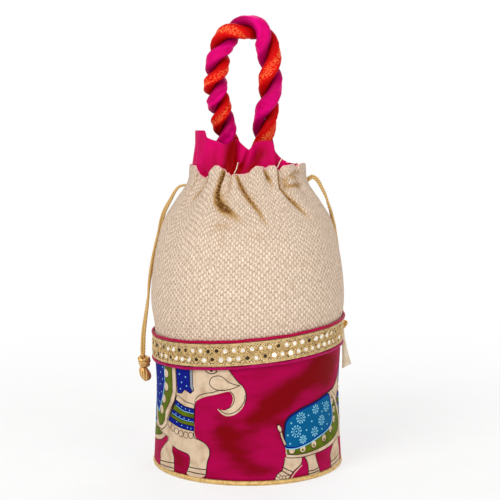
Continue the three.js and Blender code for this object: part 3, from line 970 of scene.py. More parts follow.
@dataclass(frozen=True)
class ZariThread:
    """Gold zari thread, metal strip wound on a core.

    The winding shows as fine slanted ridges, painted bright on their crowns as a painted
    highlight and brown between as painted shade, with a half-metallic glint. It is drawn at two
    to three times its real spacing, so that it shows.
    """

    name: str
    colour: str
    dark: str
    pitch: float
    metallic: float
    roughness: float
    dimming_size: float = 2.2
    ridge_depth: float = 0.18

    def build(self) -> Material:
        """Makes the material."""
        s = Shader(bpy.data.materials.new("zari_" + self.name))
        _, across, along = s.cloth_axes()
        slant = s.add(Node.ADD, s.add(Node.MULTIPLY, across, 0.9), along)
        wave = s.add(Node.SINE, s.add(Node.MULTIPLY, slant, math.pi / self.pitch))
        ridge = s.add(Node.ABSOLUTE, wave)
        # The crowns' painted highlight is dimmed in random patches.
        dimming = s.add(Node.RAMP, s.noise(self.dimming_size), 0.34, 0.6, 0.5, 1.0)
        share = s.add(Node.MULTIPLY, s.add(Node.RAMP, ridge, 0.1, 0.8), dimming)
        colour = s.add(Node.MIX, share, linear(self.dark), linear(self.colour))
        bumps = s.add(Node.BUMP, ridge, self.ridge_depth * MM)
        return s.finish(colour, self.roughness, bumps, self.metallic)


@dataclass(frozen=True)
class ZariNet:
    """Gold net ground of the mirror lace.

    Its metal thread is worked closely, and its colour is broken into flecks painted pale, as painted
    glints, and dark, as painted shade, which makes the band glitter unevenly behind its cords.
    """

    gold: str = "#AE7828"
    pale: str = "#FFEDC0"
    dark: str = "#3E2408"
    mesh: float = 1.9
    mesh_share: float = 0.22
    fleck_size: float = 1.2
    fleck_depth: float = 0.5

    def build(self) -> Material:
        """Makes the material."""
        s = Shader(bpy.data.materials.new("zari_net"))
        vector, across, along = s.cloth_axes()
        threads = [
            s.add(Node.SINE, s.add(Node.MULTIPLY, s.add(slant, across, along), TAU / self.mesh))
            for slant in (Node.ADD, Node.SUBTRACT)
        ]
        net = s.add(Node.MULTIPLY, s.add(Node.MAXIMUM, *threads), self.mesh_share)
        fleck = s.add(Node.ADD, s.noise(self.fleck_size, 3.0, vector), net)
        # Pale flecks are painted glints and dark ones painted shade.
        bright = s.add(Node.RAMP, fleck, 0.58, 0.7)
        gold = s.add(Node.MIX, bright, linear(self.gold), linear(self.pale))
        colour = s.add(Node.MIX, s.add(Node.RAMP, fleck, 0.46, 0.6), linear(self.dark), gold)
        return s.finish(colour, 0.45, s.add(Node.BUMP, fleck, self.fleck_depth * MM), 0.35)


@dataclass(frozen=True)
class MirrorGlass:
    """Small mirror of thin glass silvered behind.

    It is smooth and flat, so it looks bright or dark by what it faces, with a little haze. A copy
    given a dark colour is a painted reflection of dark surroundings.
    """

    name: str
    colour: str
    roughness: float = 0.08
    haze: str = "#6B6256"
    haze_size: float = 1.6

    def build(self) -> Material:
        """Makes the material."""
        s = Shader(bpy.data.materials.new("mirror_" + self.name))
        clear = s.add(Node.RAMP, s.noise(self.haze_size), 0.3, 0.7, 0.7, 1.0)
        colour = s.add(Node.MIX, clear, linear(self.haze), linear(self.colour))
        return s.finish(colour, self.roughness, metallic=0.85)


@dataclass(frozen=True)
class SatinCord:
    """Gold satin cord, twisted from smooth yarn.

    The light runs along each strand's crown and leaves the grooves between them brown.
    """

    name: str
    colour: str = "#DDB467"
    dark: str = "#96662A"
    pitch: float = 1.7
    metallic: float = 0.0
    roughness: float = 0.36
    slope: float = 0.8
    twist_depth: float = 0.12

    def build(self) -> Material:
        """Makes the material."""
        s = Shader(bpy.data.materials.new("cord_" + self.name))
        _, across, along = s.cloth_axes()
        slant = s.add(Node.ADD, across, s.add(Node.MULTIPLY, along, self.slope))
        wave = s.add(Node.SINE, s.add(Node.MULTIPLY, slant, math.pi / self.pitch))
        twist = s.add(Node.ABSOLUTE, wave)
        crown = s.add(Node.RAMP, twist, 0.0, 0.7)
        colour = s.add(Node.MIX, crown, linear(self.dark), linear(self.colour))
        bumps = s.add(Node.BUMP, twist, self.twist_depth * MM)
        return s.finish(colour, self.roughness, bumps, self.metallic, sheen=0.2)


@dataclass(frozen=True)
class PlainCloth:
    """Plain cotton in a fine weave with uneven tone, dull and soft.

    Its yarns are drawn 0.6 mm apart, about twice the real spacing, so that they show.
    """

    name: str
    colour: str
    dark: str
    pitch: float = 0.6
    tone_size: float = 6.0
    yarn_depth: float = 0.08

    def build(self) -> Material:
        """Makes the material."""
        s = Shader(bpy.data.materials.new("cotton_" + self.name))
        tone = s.add(Node.RAMP, s.noise(self.tone_size, 3.0), 0.35, 0.7)
        colour = s.add(Node.MIX, tone, linear(self.colour), linear(self.dark))
        bumps = s.add(Node.BUMP, s.weave(self.pitch), self.yarn_depth * MM)
        return s.finish(colour, 0.85, bumps, sheen=0.15)


@dataclass(frozen=True)
class Card:
    """Grey-brown board of pressed pulp, dull, with long fibres in its face."""

    colour: str = "#B9A27C"
    fibre: str = "#8F7A58"
    fibre_size: float = 1.5
    fibre_length: float = 4.0
    fibre_depth: float = 0.05

    def build(self) -> Material:
        """Makes the material."""
        s = Shader(bpy.data.materials.new("card_board"))
        fibre = s.noise(self.fibre_size, 4.0, None, (self.fibre_length, 1.0, 1.0))
        share = s.add(Node.RAMP, fibre, 0.35, 0.7)
        colour = s.add(Node.MIX, share, linear(self.colour), linear(self.fibre))
        return s.finish(colour, 0.9, s.add(Node.BUMP, fibre, self.fibre_depth * MM))


class Ink(Enum):
    """Colours of the print."""

    GROUND = 0
    CREAM = 1
    LINE = 2
    BLUE = 3
    OLIVE = 4
    TURQUOISE = 5
    PALE = 6
    BRAID = 7


class Palette:
    """The bag's finishes, each made once."""

    def __init__(self) -> None:
        """Builds every material."""
        self.jute = JuteWeave().build()
        # Each satin's second colour is its painted shade in the folds.
        self.satin = Satin("magenta", "#C60054", "#8E0006", "#D20062").build()
        self.magenta_ply = Satin("ply", "#D20068", "#8A003C", "#E80080").build()
        # The narrow pipings are drawn up by their seams, so they pucker closely and deeply.
        closely = {"pucker": 0.2, "pucker_size": 1.6, "shine": 0.1, "rib": 0.9, "rib_depth": 0.06}
        self.piping = Satin("piping", "#A60036", "#800024", "#BA004A", **closely).build()
        self.lower_piping = Satin("seam", "#A4004A", "#7A0040", "#BC0062", **closely).build()
        self.orange_ply = Brocade().build()
        self.zari_cord = ZariThread("cord", "#FCDC98", "#9C6C28", 0.8, 0.35, 0.33).build()
        self.zari_edge = ZariThread("edge", "#F8DEA4", "#A4742E", 0.9, 0.25, 0.38).build()
        self.zari_base = ZariThread("base", "#F6D58C", "#B07C2C", 1.0, 0.25, 0.42).build()
        self.net = ZariNet().build()
        self.mirror_bright = MirrorGlass("bright", "#FFFBF2").build()
        # The dark mirrors' colour is a painted reflection of dark surroundings.
        self.mirror_dark = MirrorGlass("dark", "#3A2A1C", 0.2).build()
        self.cord = SatinCord("gold").build()
        self.knot = SatinCord("knot", "#E2B266", "#8C5B22", 2.4, 0.45, 0.27).build()
        self.cream = PlainCloth("cream", "#F3E6D0", "#E0CBA8").build()
        self.lining = PlainCloth("lining", "#9C1050", "#7A0838").build()
        self.base_cloth = PlainCloth("base", "#B0004C", "#8A0030").build()
        self.edge = PlainCloth("edge", "#F3B7B4", "#E79A9C").build()
        self.card = Card().build()
        self.inks = {
            # The ground's second colour is its painted shade.
            Ink.GROUND: PrintedCloth("ground", "#B2004C", "#80000C").build(),
            Ink.CREAM: PrintedCloth("cream", "#E2C9AC", None, "#C4A484").build(),
            Ink.LINE: PrintedCloth("line", "#2D1914").build(),
            Ink.BLUE: PrintedCloth("blue", "#0C1A84").build(),
            Ink.OLIVE: PrintedCloth("olive", "#63730F", None, "#4C5A0C").build(),
            Ink.TURQUOISE: PrintedCloth("turquoise", "#005E90").build(),
            Ink.PALE: PrintedCloth("pale", "#86CBE4").build(),
            Ink.BRAID: PrintedCloth("braid", "#8F97A6").build(),
        }

    def ink_slots(self) -> list[Material]:
        """The print's materials in the order of the inks."""
        return [self.inks[ink] for ink in Ink]


# Studio


@dataclass(frozen=True)
class Lamp:
    """A soft area lamp: name, place, target, size and power."""

    name: str
    place: Vector
    target: Vector
    size: float
    power: float


@dataclass(frozen=True)
class Studio:
    """Camera, lamps, pale floor and white surroundings, in metres."""

    camera_place: Vector = (0.0016, -1.03, 0.286)
    camera_pitch: float = 7.98
    lens: float = 114.05
    sensor: float = 36.0
    floor_size: float = 8.0
    floor_colours: tuple[str, str] = ("#FBFBFA", "#F7F7F6")
    floor_grain: float = 40.0
    floor_shadow_share: float = 0.35
    floor_fade: tuple[float, float] = (0.1, 0.55)
    world_light: float = 0.42
    lamps: tuple[Lamp, ...] = (
        Lamp("key_lamp", (-0.75, -1.1, 1.15), (0.0, 0.0, 0.14), 0.9, 15.0),
        Lamp("fill_lamp", (1.1, -1.2, 0.55), (0.0, 0.0, 0.12), 1.1, 8.0),
        Lamp("back_lamp", (0.3, 1.2, 1.1), (0.0, 0.0, 0.14), 1.2, 8.0),
    )

    def build_camera(self) -> None:
        """Makes the camera and sets it on the scene."""
        data = bpy.data.cameras.new("camera")
        data.lens = self.lens
        data.sensor_width = self.sensor
        camera = bpy.data.objects.new("camera", data)
        camera.location = self.camera_place
        camera.rotation_euler = (math.radians(90.0 - self.camera_pitch), 0.0, 0.0)
        bpy.context.scene.collection.objects.link(camera)
        bpy.context.scene.camera = camera

    def build_lamps(self) -> None:
        """Makes the area lamps, each turned towards its target."""
        for lamp in self.lamps:
            data = bpy.data.lights.new(lamp.name, "AREA")
            data.shape = "DISK"
            data.size = lamp.size
            data.energy = lamp.power
            light = bpy.data.objects.new(lamp.name, data)
            light.location = lamp.place
            aim = np.array(lamp.target) - np.array(lamp.place)
            tilt = math.atan2(math.hypot(aim[0], aim[1]), -aim[2])
            heading = math.atan2(aim[1], aim[0]) - math.pi / 2
            light.rotation_euler = (tilt, 0.0, heading)
            bpy.context.scene.collection.objects.link(light)

    @staticmethod
    def seen_share(s: Shader) -> Socket:
        """How far a thing is in view, and not only lighting the bag.

        Args:
            s: the shader.

        Returns:
            The socket of 1 where the camera sees it directly, in metal or through glass.
        """
        direct = s.add(Node.RAY)
        rays = direct.node.outputs
        mirrored = s.add(Node.MAXIMUM, direct, rays["Is Glossy Ray"])
        return s.add(Node.MAXIMUM, mirrored, rays["Is Transmission Ray"])

    def build_world(self) -> None:
        """Makes surroundings that light the bag plainly and look white."""
        world = bpy.data.worlds.new("surroundings")
        s = Shader(world)
        light = s.add(Node.BACKGROUND, WHITE, self.world_light)
        backdrop = s.add(Node.BACKGROUND, WHITE, 1.0)
        both = s.add(Node.EITHER_SURFACE, self.seen_share(s), light, backdrop)
        s.add(Node.WORLD_OUTPUT, both)
        bpy.context.scene.world = world

    def build_floor(self) -> None:
        """Makes the pale floor, near white to the camera but with the bag's soft shadow."""
        s = Shader(bpy.data.materials.new("studio_floor"))
        pale, darker = self.floor_colours
        grain = s.add(Node.RAMP, s.noise(self.floor_grain), 0.3, 0.7)
        matt = s.add(Node.DIFFUSE, s.add(Node.MIX, grain, linear(pale), linear(darker)))
        glow = s.add(Node.EMISSION, WHITE, 1.0)
        distance = s.add(Node.LENGTH, s.add(Node.OBJECT))
        near, far = self.floor_fade
        glowing = s.add(Node.RAMP, distance, near, far, 1.0 - self.floor_shadow_share, 1.0)
        seen = s.add(Node.MULTIPLY, self.seen_share(s), glowing)
        s.add(Node.MATERIAL_OUTPUT, s.add(Node.EITHER_SURFACE, seen, matt, glow))
        half = self.floor_size / 2 / MM
        corners = np.array([(-half, -half, 0), (half, -half, 0), (half, half, 0), (-half, half, 0)])
        floor = MeshKit.make("studio_floor", corners, [[0, 1, 2, 3]], [s.owner], closed=False)

    def build(self) -> None:
        """Makes everything but the camera."""
        bpy.context.scene.view_settings.view_transform = "Standard"
        self.build_world()
        self.build_floor()
        self.build_lamps()
        LOG.info("studio: floor, surroundings and %d lamps", len(self.lamps))


# Pieces


def attach(piece: Piece, slot: str, *nodes: str) -> Piece:
    """Lets a piece ride on the bag and stand for solids of the frame.

    Args:
        piece: the piece.
        slot: its material slot; not used.
        nodes: solids that the piece replaces.

    Returns:
        The piece.
    """
    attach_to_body(piece, BODY)
    if nodes:
        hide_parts(*nodes)
    LOG.info("%s: %d faces", piece.name, len(piece.data.polygons))
    return piece


def dress(node: str, material: Material) -> None:
    """Gives a solid of the frame, which keeps its shape, its material.

    Args:
        node: the solid's name.
        material: the material for its slots.
    """
    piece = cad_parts[node]
    if not piece.material_slots:
        piece.data.materials.append(material)
    for slot in piece.material_slots:
        slot.material = material


def ring_azimuths(columns: int) -> Array:
    """Azimuths of a ring's columns, in radians, from the back round by the front."""
    return -math.pi + np.arange(columns) / columns * TAU


def ring_uv(columns: int, rows: Array, radius: float) -> Array:
    """Texture positions of a ring-shaped cloth.

    Args:
        columns: columns of the ring.
        rows: distance run up the cloth at each row, or at each row and column.
        radius: radius at which the cloth's width is measured.

    Returns:
        Rows by columns + 1 of positions in millimetres.
    """
    across = (-math.pi + np.arange(columns + 1) / columns * TAU) * radius
    up = rows if rows.ndim == 2 else rows[:, None]
    return np.stack(np.broadcast_arrays(across[None, :], up), axis=-1)


@dataclass(frozen=True)
class JutePanel:
    """Upper panel of jute, gathered to the neck, with its stitched top edge."""

    body: BodyShape
    palette: Palette
    thickness: float = 1.2
    foot: float = 85.2
    columns: int = 580
    outer_rows: tuple[int, int] = (38, 80)
    inner_rows: tuple[int, int] = (12, 26)
    gathered_from: float = 0.6
    evened: float = 7.0
    evened_over: int = 15
    deepest: float = 4.6
    pleat_share: float = 0.62
    swell: float = 0.35
    swells: int = 9
    swell_phase: float = 1.3
    swell_from: Point = (100.0, 150.0)
    weave_height: float = 109.0
    # Painted shade along the sharp folds and in the pleats' hollows.
    full_dark: float = 3.3
    dark_power: float = 1.2
    hollow_dark: float = 0.12
    darkest: float = 0.95
    edge_radius: float = 0.42
    edge_rise: float = 0.1
    brim: tuple[Point, ...] = (
        (-180, 193.2), (-170, 197.6), (-150, 198.8), (-132, 191.8), (-119, 197.8), (-107, 192.4),
        (-95, 197.8), (-79, 197.8), (-63, 197.9), (-59.5, 194), (-54, 191), (-49.7, 190.3),
        (-43.6, 191.9), (-39.2, 195.7), (-34, 198.9), (-29.8, 199), (-25.8, 196.8), (-22.5, 194.2),
        (-20, 194.4), (-17.3, 192), (-14, 193.8), (-8.6, 193.6), (-3.4, 193.7), (1.7, 194.8),
        (5.2, 197.4), (8.7, 199), (15.5, 198.5), (18, 197.3), (23, 199), (28, 199), (32.4, 196.2),
        (36, 195.6), (40.6, 198.5), (52, 199.6), (60, 197.4), (68, 199.2), (90, 198.6),
        (106, 191.9), (119, 197.6), (132, 191.6), (146, 198.2), (166, 198.6), (180, 193.2),
    )
    # Soft patches of painted shade round the folds.
    fold_shade_radius: float = 46.0
    fold_shade_patches: tuple[Patch, ...] = (
        Patch(-21, 180, 3.0, 5, 0.5, 20), Patch(-15, 172.5, 5, 2.2, 0.4, -25),
        Patch(-16, 175, 5, 4, 0.35, -40), Patch(-15, 163, 6, 3, 0.28, 0), Patch(-8, 168, 7, 2, 0.3, -20),
        Patch(-13, 154, 3, 5, 0.16, 0), Patch(32, 188, 3, 4, 0.4, -30), Patch(42, 191, 5, 1.5, 0.5, 0),
        Patch(44, 185, 6, 1.4, 0.45, 0), Patch(33, 176, 2, 7, 0.3, 40), Patch(5, 158, 14, 3, 0.12, -20),
        Patch(30, 140, 9, 3, 0.16, -10), Patch(3, 181, 3, 8, 0.2, 40), Patch(17, 193, 1.5, 4, 0.4, 30),
    )
    creases: tuple[Crease, ...] = (
        Crease(
            ((-25, 196), (-26.6, 192.6), (-28.7, 187.5), (-28.6, 182), (-25.8, 177.3), (-20.7, 173.8),
            (-13.1, 171.3), (-6, 168.5)), 4.0, 1.5,
        ),
        Crease(
            ((-12, 196), (-10.7, 192.3), (-7.5, 187.2), (-3.1, 182.4), (2.9, 177.1), (8.6, 171.4),
            (11.2, 167.3), (16, 160)), 2.7, 1.4,
        ),
        Crease(((15.7, 198), (20.1, 192.1), (23.5, 189.3), (27, 184)), 1.9, 1.0),
        Crease(
            ((32, 198), (33.3, 189.6), (32.7, 185.1), (38.2, 179), (42.4, 174.5), (47, 169.5),
            (53, 162)), 2.2, 1.3,
        ),
        Crease(((44, 192), (56.3, 194.5), (76, 193.4)), 1.4, 1.1),
        Crease(((40, 185.4), (53.3, 186.6), (70, 186.4)), 1.6, 1.2),
        Crease(((-42, 193), (-43.2, 189.8), (-47.5, 184.6), (-52.2, 180), (-56, 173)), 1.8, 1.2),
        Crease(((-17, 194), (-17.7, 187.1), (-17.5, 181)), 1.1, 1.0),
        Crease(((-60, 194), (-63, 187), (-66, 178)), 1.3, 1.2),
        Crease(((-1, 195), (4, 190), (8, 184)), 0.8, 1.0),
        Crease(((106, 192), (108, 184), (112, 172), (118, 160)), 2.4, 1.4),
        Crease(((131, 192), (134, 182), (140, 170), (146, 158)), 2.8, 1.5),
        Crease(((180, 193), (176, 182), (168, 168), (160, 157)), 2.4, 1.4),
        Crease(((-132, 192), (-138, 181), (-144, 168), (-150, 156)), 2.6, 1.5),
        Crease(((-107, 192), (-110, 182), (-116, 170)), 2.3, 1.4),
        Crease(((155, 198), (152, 188), (146, 178)), 1.4, 1.1),
        Crease(((-160, 198), (-157, 186), (-152, 176)), 1.5, 1.1),
        Crease(((-90, 198), (-92, 188), (-96, 178)), 1.4, 1.1),
        Crease(((88, 198), (91, 188), (96, 176)), 1.3, 1.1),
    )

    def brim_at(self, azimuth: Array) -> Array:
        """Height of the top edge.

        Args:
            azimuth: azimuths in radians.

        Returns:
            The height at each azimuth.
        """
        degrees = wrapped_degrees(np.degrees(azimuth))
        knots = [a for a, _ in self.brim]
        return np.interp(degrees, knots, [z for _, z in self.brim])

    def soft_brim(self, azimuth: Array) -> Array:
        """Height of the top edge at azimuths in radians, evened out over the neighbourhood."""
        offsets = np.radians(np.linspace(-self.evened, self.evened, self.evened_over))
        return np.mean([self.brim_at(azimuth + offset) for offset in offsets], axis=0)

    def creasing(self, azimuth: Array, height: Array) -> Array:
        """Depth of the sharp folds at points of the panel.

        Args:
            azimuth: azimuths in radians.
            height: heights, in an array of the same shape.

        Returns:
            The depth at each point.
        """
        total = np.zeros(height.shape)
        for crease in self.creases:
            radius = float(self.body.radius(np.mean([z for _, z in crease.points])))
            total = total + crease.depth_at(azimuth, height, radius)
        return total

    def row_shares(self, rows: tuple[int, int]) -> Array:
        """Heights of the rows as shares, some in the plain part and more in the gathers."""
        plain = np.linspace(0, self.gathered_from, rows[0], endpoint=False)
        return np.concatenate([plain, np.linspace(self.gathered_from, 1, rows[1])])

    def folding(self, azimuth: Array, height: Array) -> Array:
        """Whole depth of the pleats and sharp folds at points of the panel.

        Args:
            azimuth: azimuths in radians.
            height: heights.

        Returns:
            The depth at each point, no more than the deepest that the cloth allows.
        """
        spread, height = np.broadcast_arrays(azimuth, height)
        whole = self.pleat_share * self.body.folding(spread, height) + self.creasing(spread, height)
        return np.minimum(whole, self.deepest)

    def build(self) -> None:
        """Makes the panel and its edge."""
        azimuth = ring_azimuths(self.columns)[None, :]
        brim = self.brim_at(azimuth)
        smooth = (np.roll(brim, 1) + 2 * brim + np.roll(brim, -1)) / 4
        share = self.row_shares(self.outer_rows)
        inner_share = self.row_shares(self.inner_rows)[::-1]
        outer_z = self.body.tilted(lerp(self.foot, smooth, share[:, None]), azimuth)
        inner_z = self.body.tilted(lerp(self.foot, smooth, inner_share[:, None]), azimuth)
        folding = self.folding(azimuth, outer_z)
        inner_folding = self.folding(azimuth, inner_z)
        waves = self.swell * np.sin(azimuth * self.swells + self.swell_phase)
        swell = waves * smoothstep(outer_z, *self.swell_from)
        outer = self.body.point(azimuth, outer_z, folding - swell)
        inner = self.body.point(azimuth, inner_z, inner_folding + self.thickness)
        points = np.concatenate([outer, inner])
        climb = run_along(outer[:, 0])
        run = np.concatenate([climb, climb[-1] * (2 - inner_share)])
        run = np.append(run, run[-1] + self.thickness)
        # Painted shade: darker along the sharp folds, in the pleats' hollows and in soft patches round
        # the folds.
        creasing = self.creasing(np.broadcast_to(azimuth, outer_z.shape), outer_z)
        hollow = self.hollow_dark * self.body.folding(azimuth, outer_z) / self.deepest
        fold_patch_shade = sum(p.share(azimuth * self.fold_shade_radius, outer_z) for p in self.fold_shade_patches)
        sharp = (creasing / self.full_dark) ** self.dark_power
        dark = np.clip(sharp + hollow + fold_patch_shade, 0.0, self.darkest)
        painted_shade = {"painted_shade": np.concatenate([dark, np.zeros(inner_z.shape)])}
        uv = ring_uv(self.columns, run, float(self.body.radius(self.weave_height)))
        panel = MeshKit.grid(
            "jute_cloth", points, uv, self.palette.jute, wrap_rows=True, attributes=painted_shade
        )
        attach(panel, "jute", "jute_panel")
        middle = folding[-1] + self.thickness / 2
        edge_path = self.body.point(azimuth[0], smooth[0] + self.edge_rise, middle)
        edge = MeshKit.tube(
            "jute_edge_binding", [edge_path], self.edge_radius, 6, self.palette.edge, closed=True
        )
        attach(edge, "cord_end")


@dataclass(frozen=True)
class Shape:
    """A filled shape of the print: its colour, corners and whether they are rounded."""

    ink: Ink
    corners: tuple[Point, ...]
    rounded: bool = True


@dataclass(frozen=True)
class Stroke:
    """A drawn line of the print: its colour, points and width."""

    ink: Ink
    points: tuple[Point, ...]
    width: float = 0.55


@dataclass(frozen=True)
class Dots:
    """Round dots: their colour, centres and radius, and the radius of the dark line round each."""

    ink: Ink
    centres: tuple[Point, ...]
    radius: float
    rim: float | None = None


@dataclass(frozen=True)
class Rosette:
    """A flower of pale drops round a centre."""

    centre: Point
    radius: float
    petals: int = 9
    heart: float = 0.5
    rings: tuple[Point, ...] = ((0.86, 0.62), (0.5, 0.42))


Motif = Shape | Stroke | Dots | Rosette

# Lines of the elephants that several motifs follow.
SADDLE_HEM: tuple[Point, ...] = (
    (25.2, 17), (31, 16.2), (38, 15.9), (47.7, 16.3), (58.3, 17.1), (69.8, 18.6), (79, 20.9),
    (85.8, 25), (87.6, 30), (86.4, 34.5), (82, 41), (76.5, 48), (71, 53),
)
SADDLE_BORDER: tuple[Point, ...] = (
    (25.6, 19.2), (31, 18.2), (37.3, 17.9), (45, 18.3), (53.9, 19.3), (65.3, 20.9), (76.6, 23.7),
    (83.2, 27.2), (83.4, 32), (79, 39), (74.4, 45.5), (69, 50.5),
)
BELLY: tuple[Point, ...] = (
    (-39.8, 9.8), (-39.4, 15.1), (-40.9, 16.9), (-44.9, 17.8), (-50.7, 18.6), (-55.9, 19.8),
    (-55.6, 16), (-54.1, 13.4), (-53.2, 7.2),
)
FORE_LEG: tuple[Point, ...] = (
    (-36.5, 41.9), (-36.2, 28.8), (-32, 27.4), (-27.8, 25.6), (-25.2, 22.6), (-24.7, 19.1),
    (-26.1, 14.3),
)
HIND_LEG: tuple[Point, ...] = (
    (-71, 8), (-71.7, 11), (-70.3, 14.1), (-65.1, 19.1), (-60, 23.9), (-67.2, 25.6),
)
BROW: tuple[Point, ...] = (
    (-32, 97), (-26, 91), (-18, 83), (-11.7, 74.1), (-10.1, 71.8), (-4.9, 65.7), (-3.3, 64.4),
)
BACK: tuple[Point, ...] = ((-72, 53.6), (-64.2, 55), (-56.6, 59), (-51.6, 64), (-47.6, 71), (-42.6, 84))
TRUNK_AND_LEGS: tuple[Point, ...] = (
    *BROW, (-1.6, 60.8), (-1, 56.9), (-1.8, 52.3), (-4.3, 48.4), (-8.3, 45.4), (-12.9, 44.2),
    (-16.4, 45.2), (-20.4, 49), (-17, 48.1), (-14.3, 48), (-11.6, 50), (-9.9, 52.7), (-9.3, 56),
    (-10.2, 59), (-11.9, 60.5), (-16.3, 59.3), (-22.6, 57.3), (-28.5, 55.8), (-33.1, 53.6),
    (-35.9, 51.9), *FORE_LEG, (-27.3, 3.2), (-42.6, 3.2), *BELLY, (-53, 3.2), (-71.8, 3.2), *HIND_LEG,
)

REAR: tuple[Motif, ...] = (
    Shape(
        Ink.CREAM, ((24.4, 17.1), (24, 14.6), (22.2, 8.8), (20.1, 7.7), (18, 5.3), (17.6, 3.2),
        (27.2, 3.2), (28.1, 4.9), (30.8, 7.8), (36.3, 11.7), (37, 14.2), (37.5, 18), (30, 20)),
    ),
    Stroke(Ink.LINE, ((24.4, 17.1), (24, 14.6), (22.2, 8.8), (20.1, 7.7), (18, 5.3), (17.6, 3.4))),
    Stroke(Ink.LINE, ((27.4, 3.4), (28.1, 4.9), (30.8, 7.8), (36.3, 11.7), (37, 14.2), (37, 16.5))),
    Stroke(Ink.CREAM, ((28.6, 3.4), (31.6, 6.8), (36.8, 10.7)), 0.7),
    Shape(
        Ink.CREAM, ((39, 16.8), (39.8, 14.4), (41.4, 11.5), (42, 6.1), (41.7, 3.2), (52.6, 3.2),
        (51.3, 7), (49.4, 12), (48.4, 17.6), (43, 19)),
    ),
    Stroke(Ink.LINE, ((38.4, 15.6), (39.8, 14.4), (41.4, 11.5), (42, 6.1), (41.7, 3.4))),
    Stroke(Ink.LINE, ((52.7, 3.4), (51.3, 7), (49.4, 12), (48.4, 15.6))),
    Stroke(Ink.LINE, ((22.6, 11.4), (26.4, 9), (30.7, 6.9)), 0.6),
    Stroke(Ink.LINE, ((21.8, 9.2), (25.3, 6.9), (28.5, 4.9)), 0.6),
    Stroke(Ink.LINE, ((42, 5.8), (47.2, 5.8), (51.6, 6.6)), 0.6),
    Stroke(Ink.LINE, ((41.8, 4.1), (47.1, 4.1), (52.3, 4.8)), 0.6),
    Dots(Ink.CREAM, ((19.9, 6.0), (21.5, 4.6), (23.7, 4.4), (26, 4.4)), 1.0, 1.35),
    Shape(Ink.CREAM, ((24.8, 26), *SADDLE_HEM, (60, 46))),
    Stroke(Ink.LINE, SADDLE_HEM, 0.5),
    Shape(Ink.OLIVE, ((25.6, 24), *SADDLE_BORDER, (64, 44), (60, 30), (42, 24))),
    Stroke(Ink.LINE, SADDLE_BORDER, 0.5),
    Dots(
        Ink.CREAM, ((29.5, 21.4), (37.6, 21.2), (47.2, 22.6), (57.7, 24.6), (66.8, 28.6), (72.6, 34),
        (73, 40.4), (69.6, 46.4)), 2.3, 2.75,
    ),
    Dots(
        Ink.OLIVE, ((37.6, 20.4), (47.2, 21.8), (57.7, 23.6), (67.4, 27.6), (73.4, 33.4),
        (73.6, 40.2)), 0.9,
    ),
    Shape(
        Ink.PALE, ((24.6, 26), (24.8, 22.4), (31, 21.6), (36.2, 22.1), (43.2, 23.4), (51, 25.7),
        (60, 28), (65.8, 29.9), (70, 33.6), (70.5, 39.5), (68.6, 45.4), (66.8, 50.6), (60, 48),
        (40, 40)),
    ),
    Shape(
        Ink.BLUE, ((24.2, 27), (24.6, 23), (31.2, 22.2), (35.8, 22.8), (42.6, 24.1), (50.2, 26.4),
        (59.4, 28.6), (65, 30.4), (69.2, 34), (69.8, 39.4), (68, 45.2), (66.4, 50.6), (64.4, 53),
        (58.8, 52.3), (53, 50.7), (45.1, 49), (38, 47.4), (33.2, 45.7), (28.2, 43.5), (25.2, 40.2),
        (24.1, 34.8), (23.9, 30.2)),
    ),
    Shape(
        Ink.TURQUOISE, ((25, 26.4), (25.2, 24), (31.2, 23.1), (35.8, 23.7), (42.6, 25), (50.2, 27.3),
        (59, 29.5), (64.3, 31.2), (68.3, 34.3), (68.9, 39.4), (67, 45.1), (65.5, 49.8), (64, 51.6),
        (58.8, 51), (53, 49.4), (45.1, 47.7), (38, 46.1), (33.2, 44.4), (28.8, 42.2), (26.2, 39.7),
        (25.1, 34.7), (24.9, 30.2)),
    ),
    Stroke(
        Ink.LINE, ((24.2, 24), (23.9, 30.2), (24.1, 34.8), (25.2, 40.2), (28.2, 43.6), (33.2, 45.9),
        (38, 47.7), (45.1, 49.3), (53, 51), (58.8, 52.6), (64.6, 53.6), (72.4, 55)), 0.9,
    ),
    Rosette((36.7, 41.2), 3.6, 10),
    Rosette((49.6, 44.9), 3.0, 8),
    Rosette((61.4, 44.6), 3.4, 9),
    Rosette((55.5, 36.8), 3.3, 9),
    Rosette((33, 33), 4.0, 10),
    Rosette((48.3, 30.6), 3.1, 8),
    Rosette((38, 27.2), 2.7, 8),
    Dots(
        Ink.PALE, ((29.3, 38.7), (45.8, 37.7), (41.1, 32.7), (65.2, 38.6), (26.6, 31.2), (56.2, 42.2),
        (28.2, 25.6), (62, 32.9), (55.6, 31), (43, 42), (57, 47.4)), 0.6,
    ),
    Stroke(Ink.LINE, ((21.6, 34.4), (22.9, 29.8), (25, 25)), 2.0),
    Stroke(Ink.CREAM, ((21.6, 34.4), (22.9, 29.8), (24.8, 25.4)), 1.1),
    Shape(Ink.LINE, ((19, 38.6), (19.4, 35.6), (21.4, 33), (23, 34.4), (22.4, 37), (20.6, 38.9))),
    Shape(Ink.CREAM, ((19.6, 38), (19.9, 35.7), (21.4, 33.7), (22.4, 34.7), (21.9, 36.7), (20.5, 38.3))),
)

FRONT_BODY: tuple[Motif, ...] = (
    Shape(Ink.CREAM, ((-78, 27), (-78, 58), (-66, 80), (-66, 97), *TRUNK_AND_LEGS)),
)

SECOND_BODY: tuple[Motif, ...] = (
    Shape(Ink.CREAM, ((-78, 27), (-78, 53), *BACK, (-39, 97), *TRUNK_AND_LEGS)),
)

